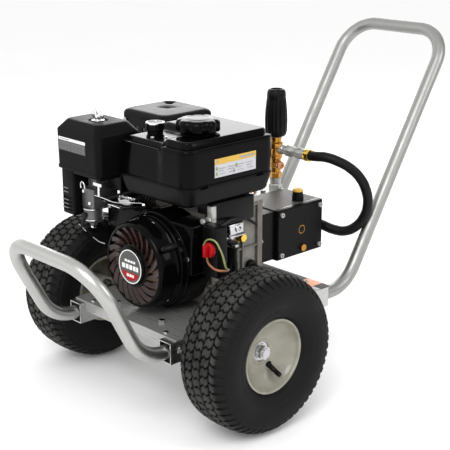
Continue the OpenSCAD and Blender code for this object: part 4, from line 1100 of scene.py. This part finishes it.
def fuel_line_and_lead():
    line = wire("fuel_hose", ((-80, 10, 428), (-100, -10, 420), (-130, -30, 408), (-150, -40, 400),
                              (-171, -40, 392)), 4.2)
    wear(line, HOSE_RUBBER)
    lead = wire("plug_lead", ((-114, 86, 430), (-112, 62, 440), (-92, 40, 436), (-70, 30, 418)), 3.5)
    wear(lead, PLASTIC)
    rod = wire("governor_rod", ((-60, -14, 402), (-92, -30, 400), (-122, -46, 398), (-148, -56, 404),
                                (-172, -60, 406)), 1.2)
    wear(rod, CHROME)
    arm = [block("a", (-130, -58, 393), (-86, -52, 395.5), 1),
           lathe("n", at(-60, -14, 398), Z, disc(6, 5), 6)]
    wear(join("throttle_plate", arm), CHROME)
    spring = []
    for i in range(97):
        t = 2 * pi * i / 8
        k = i / 96
        spring.append(at(-74 - 62 * k, -28 + 3.2 * cos(t), 410 - 4 * k + 3.2 * sin(t)))
    wear(swept("governor_spring", spring, 0.8, 6), CHROME)
    cables = [[(-220, -70, 332), (-207, -70, 327), (-194, -70, 321)],
              [(-183, -60, 308), (-160, -62, 304), (-140, -60, 303)]]
    for i, line in enumerate(cables):
        wear(wire(f"control_cable_{i}", line, 1.2), ZINC)


# ---------------------------------------------------------------- pump and unloader
UNLOADER = (-62, 388)


def unloader():
    origin = at(*UNLOADER, 0)
    brass = [lathe("b", origin, Z, [(0.1, 386), (12.5, 386), (12.5, 402), (12.5, 404), (12.5, 432),
                                    (15.5, 434), (15.5, 440), (17, 442), (17, 470), (15, 472), (13, 473),
                                    (13, 478), (14, 479), (14, 484), (0.1, 484)])]
    brass.append(lathe("b", at(UNLOADER[0] + 10, UNLOADER[1], 457), X,
                       [(0.1, 0), (12, 0), (12, 7), (10, 8), (0.1, 8)], 48))
    brass += [lathe("b", origin, Z, [(13.4, z), (14, z + 0.8), (13.4, z + 1.6), (12, z + 0.8)], 64,
                    closed=True) for z in (412, 416, 420)]
    brass.append(hexagon(origin + Z * 0.388, Z, 15, 12))
    brass.append(hexagon(origin + Z * 0.444, Z, 18.2, 14))
    wear(join("unloader_brass", brass), BRASS, node="unloader_body")
    silver = [hexagon(origin + Z * 0.358, Z, 15, 13),
              lathe("s", origin, Z, [(0.1, 356), (12, 356), (12, 372), (13.5, 374), (13.5, 386), (0.1, 386)],
                    64),
              lathe("s", at(-46, UNLOADER[1], 457), X,
                    [(0.1, 0), (10.5, 0), (11.5, 2), (11.5, 10), (10, 12), (10, 20),
                                                          (13, 22), (13, 40), (11, 43), (11, 52), (13, 54),
                                                          (13, 80), (0.1, 80)], 64),
              hexagon(at(-22, UNLOADER[1], 457), X, 14.6, 16), hexagon(at(12, UNLOADER[1], 457), X, 14.2, 12)]
    wear(join("unloader_fittings", silver), MANIFOLD)
    band = [(8.8, 0), (13.6, 0), (14.2, 1.5), (14.2, 12), (13.4, 14), (8.8, 14)]
    ferrule = [lathe("f", at(34, UNLOADER[1], 457), X, band, 64, closed=True),
               lathe("f", at(-10, 424, 290), X, band, 64, closed=True)]
    wear(join("hose_ferrules", ferrule), GOLD)
    port = lathe("p", at(-50, UNLOADER[1] - 2, 420), (X * 0.9 - Y * 0.43).normalized(),
                 [(0.1, 0), (9, 0), (9.5, 2), (9.5, 14), (8, 16), (4.5, 16),
                                                        (4.5, 12), (0.1, 12)], 48)
    wear(port, COPPER)


def unloader_knob():
    origin = at(*UNLOADER, 487)
    rings = []
    flutes = 14
    for h, r, wave in ((0, 16, 0), (0, 21, 0), (3, 23.6, 0.2), (12, 26, 1), (36, 26.6, 1), (60, 25.6, 1),
                       (84, 23, 0.8), (92, 22, 0.1),
                       (94, 22.4, 0), (104, 21, 0.5), (108, 19, 0.3), (110, 15.5, 0), (110, 13, 0),
                       (106, 11.5, 0), (106, 5, 0)):
        ring = []
        for t in full_turn(168):
            dip = 2.0 * wave * (0.5 + 0.5 * cos(flutes * t)) ** 4
            ring.append(origin + Z * (h * MM) + polar(X, Y, t) * ((r - dip) * MM))
        rings.append(ring)
    knob = loft("unloader_handle", rings, 45)
    wear(knob, PLASTIC, "unloader_knob", "unloader_knob")


OIL_CAP = (48, 348)


def pump_details():
    rim_piece = plate("gasket", rounded_rect(147.6, 116.6, 4), at(67.2, 324.5, 302), Y, Z, 1.6, 0)
    wear(rim_piece, ZINC)
    cap_top = lathe("oil_cap_top", at(*OIL_CAP, 382), Z,
                    [(0.1, 0), (12.4, 0), (12.6, 1), (11.8, 4), (9, 5.6), (0.1, 6)], 48)
    wear(cap_top, YELLOW, "pump_oil_cap")
    ribs = [lathe("r", at(*OIL_CAP, 361 + 3 * k), Z, [(12.9, 0), (13.5, 0.6), (13.5, 1.6), (12.9, 2.2)], 48,
                  closed=True) for k in range(4)]
    wear(join("oil_cap_ribs", ribs), PLASTIC, "pump_oil_cap")
    sight_cap = lathe("sight_cap", at(79.4, 329, 302), X,
                      [(0.1, 0), (8.4, 0), (8.4, 0.9), (7.6, 1.5), (0.1, 1.6)], 48)
    wear(sight_cap, PLASTIC)
    manifold_bolts = [lathe("m", at(x, y, 358), Z, [(0.1, 0), (6, 0), (6, 5), (5, 6), (3, 6), (3, 3),
                                                    (0.1, 3)], 32)
                      for x in (-98, -58) for y in (270, 305, 343)]
    wear(join("manifold_bolts", manifold_bolts), ZINC)


fuel_tank()
fuel_cap()
fuel_gauge()
tank_label()
air_cleaner()
box_and_vents()
muffler_guard()
fan_housing()
recoil_starter()
starter_grip()
switch_and_wires()
engine_fittings()
casting_ribs()
carburettor()
fuel_line_and_lead()
unloader()
unloader_knob()
pump_details()


# ---------------------------------------------------------------- materials of the CAD nodes that stay
KEPT = {
    DECK: "deck_plate rear_stand",
    RAIL: "side_rails",
    ZINC: "frame_bolts axle_nuts engine_bolts",
    STEEL: "axle crankshaft pump_shaft plungers piston main_bearings",
    HOSE_RUBBER: "rear_feet fuel_cap_seal",
    CAST: "crankcase cylinder_head flywheel rocker_cover",
    COVER_CAST: "crankcase_cover",
    MANIFOLD: "pump_manifold pump_screws",
    MUFFLER: "muffler",
    PUMP_CAST: "pump_body",
    SATIN_BLACK: "pump_cover pump_adapter",
    PLASTIC: "recoil_pulley spark_plug fuel_valve_lever throttle_lever oil_dipstick pump_oil_cap",
    CHROME: "wing_nut",
    BRASS: "pump_ports",
    FOAM: "air_filter",
}
for material, names in KEPT.items():
    for name in names.split():
        for spot in nodes[name].material_slots:
            spot.material = material
